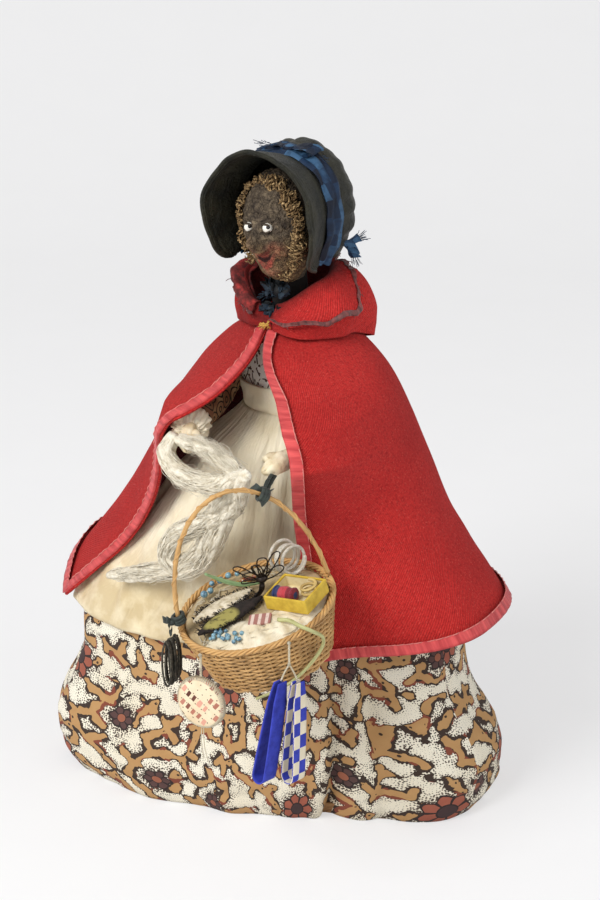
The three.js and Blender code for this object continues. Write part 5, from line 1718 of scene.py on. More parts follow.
top = Vector((BONNET_AXIS[0] + 2, BAND_Y - 1, BONNET_AXIS[1] + BAND_HALF[1] + 3.4))
bow = Shape()
ribbon_loop(bow, top, (11, 2.5, -0.6), (0, 0, 1.6), (0.1, 1, 0.15), 8, 0.8)
ribbon_loop(bow, top, (-7, 1.5, -0.2), (0, 0, 1.4), (-0.1, 1, 0.1), 8, 0.8)
ribbon_tail(bow, top, (-4, -2, 0.2), (-8, -4, 0.4), (0.35, 1, 0.25), 6.5, 4, 30)
ribbon_tail(bow, top, (6, 3, -0.4), (12, 4, -4), (-0.4, 1, 0.1), 6, 6)
bow.ball(top + upward(0.3), (2.6, 3.2, 1.6), 14, 8)
bow.make("top_bow", blue_silk("ribbon_bow", 40, FADED), "head", "bonnet_bow", "blue_ribbon")

rear = Vector((BONNET_AXIS[0] + 21.8, BAND_Y + 10, BONNET_AXIS[1] - 15.5))
tails = Shape()
ribbon_tail(tails, rear, (2, 2, 1), (4.5, 4, 2.4), (0.3, 0.5, -1), 4.4, 8, 26)
ribbon_tail(tails, rear, (1, 3, -3), (2, 5, -7), (1, 0.6, 0.1), 4.6, 9, 20)
ribbon_loop(tails, rear, (3, 4, -2.5), (0.9, -0.4, 1.2), (0.4, 0.3, -1), 4.6, 0.5)
tails.make("back_bow", blue_silk("ribbon_tails", 80, FADED), "head", "bonnet_back_bow", "blue_ribbon")

chin = Vector((HEAD.x + 2.6, HEAD.y - 7.2, HEAD.z - 25.8))
chin_tie = Shape()
random.seed(29)
chin_aims = ((-6.4, 4.6), (-1.6, 1.0), (-1.8, 3.4))
chin_lifts = ((-0.6, 0.6), (-2.4, -0.8), (-0.5, 1.0))
add_crumple(chin_tie, chin, 30, 0.2, chin_aims, chin_lifts, 4.2, 1.2)
chin_tie.ball(chin + Vector((0, -0.6, 0)), (3, 2, 2.6), 14, 10)
fray(chin_tie, chin + Vector((-5, -1, -2)), (-1, -0.3, -0.6), 24, 2.2, 2.4, 12)
navy_silk = blue_silk("ribbon_navy", 17, NAVY)
chin_tie.make("chin_tie", navy_silk, "head", "chin_bow", "dark_ribbon")
throat_top = Vector((HEAD.x + 2.0, HEAD.y - 8.2, 217.6))
ribbon_ends = Shape()
random.seed(31)
end_aims = ((-7.5, 7.0), (-1.2, 1.2), (-2.0, 0.9))
end_lifts = ((-0.6, 0.6), (-1.8, -0.6), (-0.4, 0.5))
add_crumple(ribbon_ends, throat_top, 26, 0.3, end_aims, end_lifts, 3.2, 0.9)
ribbon_ends.make("ribbon_ends", navy_silk, "doll", slot="dark_ribbon")


# Cane basket

RIM_CENTRE = Vector((30.7, -79.5, 117))
BASKET_TURN = Euler((3 * RAD, -16 * RAD, 46 * RAD), "XYZ")
BASKET = Matrix.Translation(RIM_CENTRE) @ BASKET_TURN.to_matrix().to_4x4()
RIM_RADIUS = 31
HANDLE_HEIGHT = 53
STAKES = 36
WEAVERS = 20
WEAVER_RADIUS = 0.56
BOWL_PROFILE = [(-24, 24.2), (-12, 27.6), (-1.8, 30.6)]
BOWL_FLOOR = -23.4
FLOOR_RINGS = 14
FLOOR_RIBS = 8
RIM_STRANDS = 4
RIM_STEPS = 280
HANDLE_STEPS = 160
BEDDING_RADIUS = 29.2
TANGLE_THREADS = 34


def cane(name, light, dark):
    """Split cane or straw with streaks along it."""
    look = Look(name, 0.55, {"Specular IOR Level": 0.35})
    place = look.cloth()
    streak = look.noise(1.2, 4, look.stretched(place, 2.2, 0.1))
    colour = look.mix(light, dark, look.between(streak, 0.45, 0.8))
    worn = look.between(look.noise(9, 3), 0.5, 0.8)
    look.paint(look.mix(colour, dark, look.times(worn, 0.6)))
    look.bump(streak, 0.12)
    return look


cane_weave = cane("cane_weave", rgb(206, 164, 106), rgb(116, 80, 46))
cane_rod = cane("cane_rod", rgb(208, 164, 104), rgb(136, 94, 52))


def bowl_reach(height):
    return through(BOWL_PROFILE, 1, height)


bowl = Shape()
for row in range(WEAVERS):
    height = blend(BOWL_FLOOR, -2.4, row / (WEAVERS - 1))
    ring = []
    for k in range(STAKES * 4):
        turn = FULL * k / (STAKES * 4)
        reach = bowl_reach(height) + 0.6 * math.cos(turn * STAKES / 2 + math.pi * row)
        ring.append(polar(turn / RAD, reach, height + 0.12 * math.sin(3 * turn + row)))
    bowl.tube(ring, WEAVER_RADIUS, 5, True)
for k in range(STAKES):
    bowl.tube([polar(360 * k / STAKES, bowl_reach(h) + 0.1, h) for h in (-23.8, -17, -10, -2)], 0.5, 5)
for number in range(FLOOR_RINGS):
    reach = 3.2 + number * 1.5
    ring = []
    steps = max(24, int(reach * 5))
    for k in range(steps):
        turn = FULL * k / steps
        height = BOWL_FLOOR + 0.45 * math.cos(turn * FLOOR_RIBS + math.pi * number)
        ring.append(polar(turn / RAD, reach, height))
    bowl.tube(ring, 0.75, 5, True)
for k in range(FLOOR_RIBS):
    bowl.tube([polar(k * 180 / FLOOR_RIBS, reach, BOWL_FLOOR) for reach in (-23, 0, 23)], 0.6, 5)
bowl.place(BASKET).make("basket_weave", cane_weave, "basket", "basket_bowl", "cane")

rim = Shape()
for strand in range(RIM_STRANDS):
    ring = []
    for k in range(RIM_STEPS):
        turn = FULL * k / RIM_STEPS
        spin = 17 * turn + strand * FULL / RIM_STRANDS
        ring.append(polar(turn / RAD, RIM_RADIUS + 0.8 * math.cos(spin), 0.8 * math.sin(spin)))
    rim.tube(ring, 0.6, 6, True)
rim.place(BASKET).make("basket_rim_twist", cane_rod, "basket", "basket_rim", "cane")


def on_handle(turn):
    return Vector((RIM_RADIUS * math.cos(turn), 0, HANDLE_HEIGHT * math.sin(turn)))


def handle_point(share):
    foot = math.asin(2.3 / HANDLE_HEIGHT)
    return on_handle(blend(foot, math.pi - foot, share))


handle_rod = []
handle_strand = []
for k in range(HANDLE_STEPS + 1):
    p = handle_point(k / HANDLE_STEPS)
    out = Vector((p.x, 0, p.z * 0.4)).normalized()
    spin = 15 * FULL * k / HANDLE_STEPS
    handle_rod.append(p)
    handle_strand.append(p + out * (0.95 * math.cos(spin)) + Vector((0, 0.95 * math.sin(spin), 0)))
handle = Shape().tube(handle_rod, lambda t: 0.9 + 0.06 * math.sin(t * 50), 10)
handle.tube(handle_strand, 0.3, 6)
handle.place(BASKET).make("basket_handle_rods", cane_rod, "basket", "basket_handle", "cane")


# Bedding of the basket

def lining_point(u, v):
    """Bedding cloth that domes up in the bowl."""
    p = polar(u * 360, BEDDING_RADIUS * v, 0)
    return p + upward(1.8 - 2.6 * v ** 5 + 0.7 * ripple(p, 6, 3) - 0.8 * abs(ripple(p, 9, 6)))


def above_bedding(angle, reach):
    """Height of the bedding at a place in the bowl."""
    return lining_point(angle / 360, reach / BEDDING_RADIUS).z


def bedding_flat(u, v):
    return tuple(polar(u * 360, 30 * v, 0).xy)


bedding_look = cloth_look("bedding", rgb(206, 186, 146), rgb(150, 126, 88), 0.6, patch=6.0, depth=0.15)
bedding = Shape().grid(lining_point, 90, 30, True, bedding_flat).place(BASKET)
bedding = bedding.make("basket_bedding", bedding_look, "basket", "basket_lining", "lining", 0.5)
string_look = two_tone("string", rgb(234, 226, 206), rgb(196, 180, 146), 1.5, 3, 0.85)
string_look.bump(string_look.wave(0.4, axis="Y", bend=0.5), 0.15)
tangle = Shape()
random.seed(41)
for number in range(TANGLE_THREADS):
    angle = random.uniform(-150, 60) if number % 4 else random.uniform(60, 210)
    reach = random.uniform(17, 27)
    lane = []
    for k in range(7):
        p = polar(angle + k * random.uniform(3, 8), reach + random.uniform(-2, 2), 0)
        lane.append(p + upward(above_bedding(angle, p.length) + 0.35 + 0.5 * random.random()))
    tangle.tube(smooth_path(lane, 26), 0.22, 4)
tangle.place(BASKET).make("bedding_threads", string_look, "basket", slot="lining")


def tissue_point(u, v):
    """Crumpled pale cloth in front of the wares, over the bedding."""
    angle = blend(-152, -22, u)
    reach = blend(28.6, 12, v)
    p = polar(angle, reach, 0)
    edge = min(1, 8 * min(u, 1 - u)) * min(1, 5 * min(v, 1 - v))
    lift = 0.2 + edge * (1.2 + 1.3 * ripple(p, 4, 2) - 1.5 * abs(ripple(p, 5, 7)))
    return p + upward(above_bedding(angle, reach) + max(0.15, lift))


tissue_look = cloth_look("tissue", rgb(240, 230, 206), rgb(206, 188, 152), 0.5, patch=5.0, depth=0.1)
tissue = Shape().grid(tissue_point, 90, 24, False, lambda u, v: (u * 52, v * 16))
tissue = tissue.place(BASKET).make("bedding_cloth", tissue_look, "basket", slot="lining")


# Wares in the basket

REST = 2.45


def seat(x, y, z, turn):
    """Place in the basket, with a turn about the basket's own upright."""
    return BASKET @ Matrix.Translation((x, y, z)) @ Matrix.Rotation(turn * RAD, 4, "Z")


# Yellow tray with its paper liner

TRAY_PLACE = seat(15, -11, REST, -50)
TRAY = (20, 16, 6, 0.9)


def box_ring(length, width, height, corner=0.5):
    """Level ring with the outline of a box with rounded corners."""
    ring = []
    for sx, sy, first in ((1, 1, 0), (-1, 1, 90), (-1, -1, 180), (1, -1, 270)):
        for k in range(4):
            turn = (first + 30 * k) * RAD
            ring.append(Vector((sx * (length / 2 - corner) + corner * math.cos(turn),
                                sy * (width / 2 - corner) + corner * math.sin(turn), height)))
    return ring


def from_rings(rings):
    """Closed body through rings of equal count, from the top ring down."""
    count, last = len(rings[0]), len(rings) - 1
    return Shape().stuffed(lambda u, v: rings[round(v * last)][round(u * count) % count], count, last)


def painted_card(name, light, dark, edge):
    """Card with patchy paint and scuffs."""
    look = Look(name, 0.6)
    colour = look.patchy(light, dark, 4, 5, 0.4, 0.75)
    scuff = look.between(look.noise(1.2, 4, rough=0.7), 0.66, 0.76)
    look.paint(look.mix(colour, edge, scuff))
    look.bump(look.noise(1.5, 4), 0.12)
    return look


length, width, height, wall = TRAY
inner_length, inner_width = length - 2 * wall, width - 2 * wall
tray = from_rings([
    box_ring(inner_length, inner_width, wall, 0.3), box_ring(inner_length, inner_width, height - 0.1, 0.3),
    box_ring(inner_length + 0.3, inner_width + 0.3, height, 0.4), box_ring(length - 0.3, width - 0.3, height),
    box_ring(length, width, height - 0.2), box_ring(length, width, 0.2),
    box_ring(length - 0.4, width - 0.4, 0),
])
tray.ruffle(0.12, 6).place(TRAY_PLACE)
yellow = painted_card("yellow_card", rgb(212, 180, 66), rgb(178, 142, 44), rgb(226, 206, 140))
tray.make("yellow_box", yellow, "basket", "yellow_tray", "tray_card", smooth=False)
paper_lining = painted_card("tray_paper", rgb(230, 216, 176), rgb(206, 186, 136), rgb(240, 230, 200))
liner = from_rings([
    [p * 0.995 for p in box_ring(inner_length - 0.1, inner_width - 0.1, height - 0.6, 0.3)],
    box_ring(inner_length - 0.1, inner_width - 0.1, wall + 0.12, 0.3),
])
liner.drop_face(-2)
liner.reverse()
liner.place(TRAY_PLACE).make("tray_liner", paper_lining, "basket", slot="tray_card", smooth=False)


# Thread reel

def wound_thread():
    """Blue and red thread wound side by side."""
    look = Look("wound_thread", 0.7, {"Sheen Weight": 0.2})
    place = look.cloth()
    edge = look.plus(look.axis(place, 1), look.times(look.noise(1.2, 2), 0.8))
    colour = look.mix(rgb(36, 48, 96), rgb(196, 62, 70), look.above(edge, 3.4))
    colour = look.mix(colour, rgb(132, 34, 46), look.above(edge, 7.2))
    look.paint(look.patchy(colour, rgb(60, 20, 30), 1.4, 3, 0.55, 0.8))
    look.bump(look.wave(0.35, place, "Y", 0.8), 0.12)
    return look


REEL_RADIUS = 3.2
REEL_HALF = 4.9
REEL_PROFILE = [
    (0, 1.4), (0.04, 2.9), (0.1, 3.1), (0.13, 2.6), (0.5, 3.15),
    (0.87, 2.6), (0.9, 3.1), (0.96, 2.9), (1, 1.4),
]


def reel_point(u, v):
    swell = through(REEL_PROFILE, 1, v)
    return Vector((blend(-REEL_HALF, REEL_HALF, v), swell * math.cos(u * FULL), -swell * math.sin(u * FULL)))


reel = Shape().stuffed(reel_point, 32, 60, lambda u, v: (u * 20, v * 10)).ruffle(0.15, 1.2)
reel.place(TRAY_PLACE @ Matrix.Translation((-3, -2.8, wall + GAP + REEL_RADIUS)))
reel.make("thread_reel_wound", wound_thread(), "basket", "thread_reel", "reel_thread")


# Straw ring

straw_look = cane("straw", rgb(206, 178, 112), rgb(140, 108, 58))
STRAW_CENTRE = Vector((4.9, 2.7, wall + GAP + 0.75))
STRAW_LOOPS = 7 / 3
STRAW_STEPS = 126
STRAW_RISE = 14 / 3
STRAW_RADIUS = 0.6
straw_path = []
for k in range(STRAW_STEPS + 1):
    share = k / STRAW_STEPS
    turn = share * STRAW_LOOPS * FULL
    lane = polar(turn / RAD, 3.1 - 0.12 * math.cos(turn * 0.5), share * STRAW_RISE)
    straw_path.append(TRAY_PLACE @ (lane + STRAW_CENTRE))
straw_ring = Shape().tube(straw_path, STRAW_RADIUS, 8)
straw_ring = straw_ring.make("straw_ring", straw_look, "basket", "straw_coil", "straw")


# White cord in loops

white_cord = two_tone("white_cord", rgb(238, 232, 218), rgb(204, 192, 168), 2, 3, 0.8, (0.4, 0.75))
white_cord.bump(white_cord.wave(0.5, white_cord.turned(white_cord.cloth(), 50), "Y"), 0.2)
CORD_LOOPS = 4
CORD_STEPS = 32
CORD_PITCH = 2.5
CORD_RADIUS = 0.65
CORD_PLACE = seat(19, 9.5, REST + 7, -70) @ Matrix.Translation((-5.2, 0, 0))
cord_path = []
for k in range(CORD_LOOPS * CORD_STEPS + 1):
    loops = k / CORD_STEPS
    radius = 5.6 + 0.7 * math.cos(loops * FULL * 0.37)
    lane = Vector((loops * CORD_PITCH, radius * math.cos(loops * FULL), radius * math.sin(loops * FULL)))
    cord_path.append(CORD_PLACE @ lane)
cord = Shape().tube(cord_path, CORD_RADIUS, 10)
cord = cord.make("cord_loops", white_cord, "basket", "cord_coil", "white_cord")


# Bundle of hairpins

WIRE_TONES = rgb(30, 27, 26), rgb(58, 46, 38)
black_wire = two_tone("black_wire", *WIRE_TONES, 1.5, 3, 0.35, sockets={"Metallic": 0.5})
PIN_PLACE = seat(6.2, 5.6, REST + 4.2, -18) @ Matrix.Rotation(24 * RAD, 4, "X")
PIN_LEANS = (-52, -38, -24, -10, 2, 14, 27, 40, 54)
PIN_RADIUS = 0.28
pins = Shape()
for k, lean in enumerate(PIN_LEANS):
    tall = 9.5 + 2.6 * ((k * 2) % 3)
    bend = 1.2 + 0.45 * (k % 3)
    half = [(0.7, 0), (bend, tall * 0.6), (bend * 0.7, tall * 0.94)]
    outline = [(-x, z) for x, z in half] + half[::-1]
    swing = Matrix.Rotation(lean * RAD, 3, "Y")
    aside = 0.9 * (k * 5 % 9 - 4) / 12
    pins.tube(smooth_path([swing @ Vector((x, aside * z, z)) for x, z in outline], 26), PIN_RADIUS, 6)
pins.ball((0, 0, 1.6), (2.5, 2.1, 1.6), 14, 8)
pins.ruffle(0.25, 3.0).place(PIN_PLACE)
pin_root = BASKET.inverted() @ PIN_PLACE @ upward(1)
random.seed(37)
for k in range(9):
    drift = Vector((random.uniform(-1, 1), random.uniform(-1, 1), 0))
    strip_line = [
        pin_root + drift * 0.6, Vector((4.0, 2.6, REST + 2.4)) + drift,
        Vector((0, -0.6, REST + 1.8)) + drift * 1.3, Vector((-3.4, -2.4, REST + 2.0)) + drift * 1.2,
    ]
    start = len(pins.points)
    pins.ribbon(smooth_path(strip_line, 16), (drift.y, -drift.x, 0.6), 1.5)
    pins.ruffle(0.4, 1.6, start, k).place(BASKET, start)
pins.make("hairpins", black_wire, "basket", "hairpin_bundle", "black_wire")


# Felt wipers

def leaf_half(x, length, width):
    return 0.5 * width * max(0.0, 1 - (2 * x / length) ** 2) ** 0.8


FRINGE_THREADS = 170
FRINGE_RADIUS = 0.17


def add_wiper(name, node, slot, length, width, thick, place, look, seed):
    """Leaf of felt with a fringe sewn along its edge."""
    def point(u, v):
        along = blend(-length / 2, length / 2, v)
        half = leaf_half(along, length, width) + 0.12
        full = 0.4 + 0.6 * half / (width / 2)
        height = 0.5 * thick * (1 - math.sin(u * FULL) * full)
        return Vector((along, half * math.cos(u * FULL), height))

    leaf = Shape().stuffed(point, 24, 30, lambda u, v: (u * 12, v * length)).ruffle(0.2, 2.0)
    leaf.place(place).make(name, look, "basket", node, slot)
    fringe = Shape()
    random.seed(seed)
    for k in range(FRINGE_THREADS):
        along = random.uniform(-0.48, 0.48) * length
        side = 1 if k % 2 else -1
        edge = side * leaf_half(along, length, width) * 0.92
        root = Vector((along, edge, thick * random.uniform(0.2, 0.9)))
        aim = random_vector((-1.2, 0.8), (0.8, 2.2), (-0.3, 0.9))
        tip = root + Vector((aim.x, side * aim.y, aim.z))
        fringe.tube([root, root.lerp(tip, 0.5) + upward(0.3), tip], FRINGE_RADIUS, 3)
    fringe.place(place).make(name + "_fringe", black_fringe, "basket", slot=slot)


def felt(name, light, dark, leaf=None):
    """Felt in two shades, with a leaf of a third colour in its middle where that is asked for."""
    look = Look(name, 0.9)
    colour = look.patchy(light, dark, 2.5, 5, 0.38, 0.68)
    if leaf:
        heart = look.times(look.spot(look.cloth(), (9, 11, 0), (3.2, 8.5, 9)), 4, limit=True)
        colour = look.mix(colour, leaf, look.times(heart, look.between(look.noise(3, 4), 0.3, 0.5)))
    look.paint(colour)
    look.bump(look.noise(0.7, 4), 0.25)
    return look


black_fringe = felt("black_fringe", rgb(30, 26, 24), rgb(46, 40, 34))
pale_felt = felt("pale_felt", rgb(232, 220, 196), rgb(176, 158, 122))
dark_felt = felt("dark_felt", rgb(34, 29, 26), rgb(52, 42, 38), rgb(158, 148, 84))
PALE_PLACE = seat(-12.0, 3.8, REST, 14)
DARK_PLACE = seat(-11.6, -5.4, REST, 17)
add_wiper("pale_wiper", "wiper_pale", "pale_felt", 28, 9, 2.6, PALE_PLACE, pale_felt, 21)
add_wiper("dark_wiper", "wiper_dark", "dark_felt", 31, 9.6, 2.8, DARK_PLACE, dark_felt, 22)


# Dried stems

def stem_look(name, light, dark):
    """Dried stem with streaks along it."""
    look = Look(name, 0.55)
    along = look.noise(3, 3, look.stretched(look.cloth(), 2, 0.3))
    look.paint(look.mix(light, dark, look.between(along, 0.35, 0.7)))
    look.bump(along, 0.2)
    return look


GREEN_SPOTS = [(5, 8.4, REST + 2), (-2, 9, REST + 4), (-8, 9.4, REST + 8), (-14.5, 8.2, REST + 15)]
green_look = stem_look("green_stem", rgb(166, 196, 142), rgb(98, 124, 82))


def green_radius(share):
    return 0.55 + 0.45 * math.sin(math.pi * clamp(share * 1.15)) ** 0.7


green_stem = Shape().tube(smooth_path(GREEN_SPOTS, 30), green_radius, 10)
green_stem.place(BASKET).make("green_sprig", green_look, "basket", "green_stem", "stem_green")
rim_crest = 1.7 + 0.85 + GAP
bent = smooth_path([
    (4, -20.2, REST + 0.85), (7.5, -25, rim_crest + 1), (9.8, -30.4, rim_crest + 0.6), (13.6, -31.6, 0),
    (17.5, -27.8, -7), (15.2, -26.4, -13), (6, -27, -19), (-4, -26.8, -22.5), (-14, -23.2, -25),
], 60)
bent_look = stem_look("bent_stem", rgb(196, 196, 140), rgb(150, 146, 92))
bent_stem = Shape().tube(bent, lambda t: 0.85 - 0.3 * t, 10)
bent_stem.place(BASKET).make("bent_sprig", bent_look, "basket", "bent_stem", "stem_green")


# Glass beads

def bead_glass(name, light, dark):
    """Shiny glass in two shades."""
    shine = {"Specular IOR Level": 0.6, "Coat Weight": 0.4}
    look = two_tone(name, light, dark, 2.2, 2, 0.15, (0.4, 0.65), shine)
    look.bump(look.noise(0.8, 2), 0.05)
    return look


LARGE_BLUE_BEADS = 6
SMALL_BLUE_BEADS = 26
RED_BEADS = 4
blue_beads = Shape()
for k in range(LARGE_BLUE_BEADS):
    spot = polar(92 + k * 9, 22 + 2.2 * (k * 5 % 4) / 3, REST + 1.5 + 0.6 * (k % 2))
    blue_beads.ball(spot, 1.1 + 0.4 * (k % 3) / 2)
random.seed(31)
for k in range(SMALL_BLUE_BEADS):
    spot = polar(random.uniform(208, 240), random.uniform(20.5, 26.5), 2.2 + random.uniform(0, 1.2))
    blue_beads.ball(spot, random.uniform(0.7, 1.0), 10, 7)
blue_glass = bead_glass("blue_glass", rgb(122, 164, 178), rgb(66, 104, 128))
blue_beads.place(BASKET).make("blue_bead_string", blue_glass, "basket", "blue_beads", "blue_glass")
red_beads = Shape()
for k in range(RED_BEADS):
    red_beads.ball((-2.6 + k * 2.5, 14.8 + 0.5 * (k % 2), REST + 1.4), 1.33)
red_glass = bead_glass("red_glass", rgb(122, 42, 38), rgb(178, 134, 60))
red_beads.place(BASKET).make("red_bead_string", red_glass, "basket", "red_beads", "red_glass")


# Card with bars

def striped_card():
    """Pink card with bars, worn in patches."""
    look = Look("striped_card", 0.7)
    bar = look.above(look.wave(3.0, look.cloth(), "X"), 0.4)
    colour = look.mix(rgb(214, 192, 178), rgb(158, 108, 98), bar)
    look.paint(look.patchy(colour, rgb(160, 130, 110), 2, 4, 0.55, 0.8))
    look.bump(look.noise(1, 3), 0.15)
    return look


card = from_rings([box_ring(9, 5.5, 0.4, 0.3), box_ring(9, 5.5, -0.4, 0.3)])
card.flat = [tuple((card.points[k].x, card.points[k].y) for k in face) for face in card.faces]
card.place(seat(-2.2, -15.5, REST + 1, -28) @ Matrix.Rotation(10 * RAD, 4, "X"))
card.make("pink_card", striped_card(), "basket", "pin_card", "pink_card", smooth=False)


# Ribbon round the foot of the handle

dark_silk = silk_ribbon("dark_silk", rgb(50, 60, 52), rgb(22, 27, 24), 2.0)
FOOT_TIE_HEIGHT = 8
TIE_WINDINGS = 3
WINDING_STEPS = 20


def add_windings(shape, centre, side, along, radius, pitch, wire, sway=0.0):
    """Turns of a tie beside each other round the handle."""
    for k in range(TIE_WINDINGS):
        ring = []
        for m in range(WINDING_STEPS):
            turn = FULL * m / WINDING_STEPS
            aside = side * (radius * math.cos(turn)) + Vector((0, radius * math.sin(turn), 0))
            ring.append(centre + aside + along * (pitch * (k - 1) + sway * math.sin(turn + k)))
        shape.tube(ring, wire, 6, True)


tie_spot = on_handle(math.pi - math.asin(FOOT_TIE_HEIGHT / HANDLE_HEIGHT))
foot_tie = Shape()
add_windings(foot_tie, tie_spot, Vector((1, 0, 0)), upward(1), 2.15, 1.1, 0.8, 0.4)
knot_at = tie_spot + Vector((-3, 0, -0.4))
foot_tie.ball(knot_at, (1.6, 2.2, 1.5), 12, 8)
for aim in ((-2.2, -2.6, -2.6), (-2.6, 2.8, 0.8), (-1.4, -1.4, 2.4)):
    ribbon_loop(foot_tie, knot_at, aim, (-0.6, 0.3, 0.5), (0.3, 0.6, 1), 2.6, 0.3)
foot_tie.ruffle(0.2, 1.5).place(BASKET)
foot_tie.make("handle_ribbon", dark_silk, "basket", "handle_tie", "dark_ribbon")


# Wares that hang from the rim

def rim_spot(angle, out, up):
    return BASKET @ polar(angle, RIM_RADIUS + out, up)


# Boot laces

lace_top = rim_spot(184, 4.6, 3.6)
lace = two_tone("black_lace", rgb(54, 51, 44), rgb(108, 101, 86), 1.6, 3, 0.75, (0.45, 0.75))
lace.bump(lace.wave(0.6, axis="Y"), 0.2)
LACE_LOOPS = 9
LACE_STEPS = 28
LACE_RADIUS = 0.45
LACE_SPREAD = 8.6
lace_path = []
for k in range(LACE_LOOPS * LACE_STEPS + 1):
    turn = k / LACE_STEPS * FULL
    lane = (k / (LACE_LOOPS * LACE_STEPS) - 0.5) * LACE_SPREAD
    drop = 11.0 - (9.4 + 0.7 * math.cos(turn * 0.29)) * math.cos(turn)
    sway = (1.8 + 0.5 * math.sin(turn * 0.37)) * math.sin(turn)
    lace_path.append(lace_top + Vector((sway, lane, -drop)))
lace_hank = Shape().tube(lace_path, LACE_RADIUS, 8)
lace_hank = lace_hank.make("boot_laces", lace, "laces", "lace_hank", "black_lace")


# Disc pincushion on its string

def twisted_string(shape, path, radius=0.28):
    """Two thin plies laid round each other."""
    line = smooth_path(path, 44)
    sides = frames_along(line)
    for ply in (0, math.pi):
        twist = []
        for k, (p, (side, other)) in enumerate(zip(line, sides)):
            turn = k * 0.9 + ply
            twist.append(p + side * (radius * math.cos(turn)) + other * (radius * math.sin(turn)))
        shape.tube(twist, radius, 6)


DISC_RADIUS = 10.5
DISC_DROP = 10
HANG_OUT = 2.7
disc_top = rim_spot(212, HANG_OUT, 0)
disc_middle = disc_top - upward(DISC_DROP + DISC_RADIUS)
disc_string = Shape()
twisted_string(disc_string, [disc_top, disc_top - upward(DISC_DROP - 0.4)])
disc_string.ball(disc_top - Vector((0, 0.3, 0.2)), 0.8, 10, 6)
disc_string.ball(disc_top - Vector((0, 0.2, 6.4)), 0.75, 10, 6)
disc_string.make("disc_cord", string_look, "disc", "disc_string", "raw_wool")


def disc_print():
    """Cream cloth printed with rows of short bars and small dots."""
    look = Look("disc_print", 0.85)
    place = look.cloth()
    slant = look.turned(place, 35)
    bars = look.cells(3.1, metric="CHEBYCHEV", place=look.stretched(slant, 1.0, 0.56), spread=0.12)
    tint = look.axis(bars.outputs["Color"], 0)
    bar = look.below(bars.outputs["Distance"], 0.27)
    bar = look.times(bar, look.above(tint, 0.36))
    dots = look.distance(3.1, place=look.shifted(slant, 1.5, 1.5), spread=0.2)
    ground = look.patchy(rgb(236, 218, 186), rgb(216, 190, 150), 7, 4, 0.4, 0.8)
    colour = look.mix(ground, rgb(84, 60, 50), look.below(dots, 0.09))
    ink = look.ramp(tint, (0.4, rgb(96, 56, 46)), (0.6, rgb(180, 116, 96)), (0.8, rgb(220, 160, 138)))
    look.paint(look.mix(colour, ink, bar))
    look.bump(look.noise(2, 3), 0.25)
    look.bump(weave(look, 0.4), 0.05)
    return look


DISC_PROFILE = [
    (0, 0.3, 2.1), (0.32, 7, 1.95), (0.44, 9.8, 1.5), (0.5, DISC_RADIUS, 0), (0.56, 9.8, -1.5),
    (0.68, 7, -1.95), (1, 0.3, -2.1),
]
OVERSEWN_STITCHES = 72


def disc_point(u, v):
    reach, depth = (through(DISC_PROFILE, column, v) for column in (1, 2))
    return disc_middle + Vector((reach * math.cos(u * FULL), -depth, reach * math.sin(u * FULL)))


def disc_flat(u, v):
    reach = 24 * v if v < 0.5 else 24 * (1 - v) + 40
    return (reach * math.cos(u * FULL), reach * math.sin(u * FULL))


disc = Shape().stuffed(disc_point, 56, 40, disc_flat).ruffle(0.1, 3.0)
disc = disc.make("pincushion", disc_print(), "disc", "disc_pincushion", "disc_print")
oversewn = Shape()
far = Vector((0, 1.65, 0))
for k in range(OVERSEWN_STITCHES):
    turn = FULL * k / OVERSEWN_STITCHES
    out = Vector((math.cos(turn), 0, math.sin(turn)))
    lean = Vector((-math.sin(turn), 0, math.cos(turn))) * 0.5
    foot = disc_middle + out * (DISC_RADIUS - 0.8)
    edge = disc_middle + out * (DISC_RADIUS + 0.2)
    stitch = [foot - lean - far, edge - far * 0.4, edge + lean * 0.6 + far * 0.4, foot + lean + far]
    oversewn.tube(stitch, 0.24, 5)
for drift, reach in ((0.6, 14), (2.6, 17)):
    start = disc_middle + Vector((drift * 0.4, -0.4, -DISC_RADIUS))
    bend = start + Vector((drift * 0.3, -0.6, -reach * 0.5))
    oversewn.tube(smooth_path([start, bend, start + Vector((drift, 0.3, -reach))], 16), 0.2, 5)
oversewn.make("disc_stitches", string_look, "disc", slot="raw_wool")


# Garters on their string

GARTER_LENGTH = 43
GARTER_WIDTH = 6.6
GARTER_BEND = 2.8
GARTER_PINCH = 0.9
GARTER_ROUND = 0.16
GARTER_STRING = 16.5
FORK_DROP = 9
FORK_HALF = 3.2
GARTER_TURN = Matrix.Rotation(74 * RAD, 3, "Z")
GARTER_FACING = Matrix.Rotation(30 * RAD, 3, "Z")
garter_top = rim_spot(276, HANG_OUT, 0)
string_foot = garter_top - upward(GARTER_STRING)
garter_cords = Shape()
fork = garter_top - upward(FORK_DROP)
across_view = GARTER_FACING @ Vector((1, 0, 0))
twisted_string(garter_cords, [garter_top, fork], 0.24)
for slide in (-FORK_HALF, FORK_HALF):
    middle = fork.lerp(string_foot, 0.5) + across_view * slide * 0.6
    foot = string_foot + across_view * slide + upward(0.4)
    twisted_string(garter_cords, [fork, middle, foot], 0.2)
garter_cords.ball(fork, 0.7, 10, 6)
garter_cords.ball(garter_top, 0.8, 10, 6)
garter_cords.make("garter_cord", string_look, "garters", "garter_string", "raw_wool")


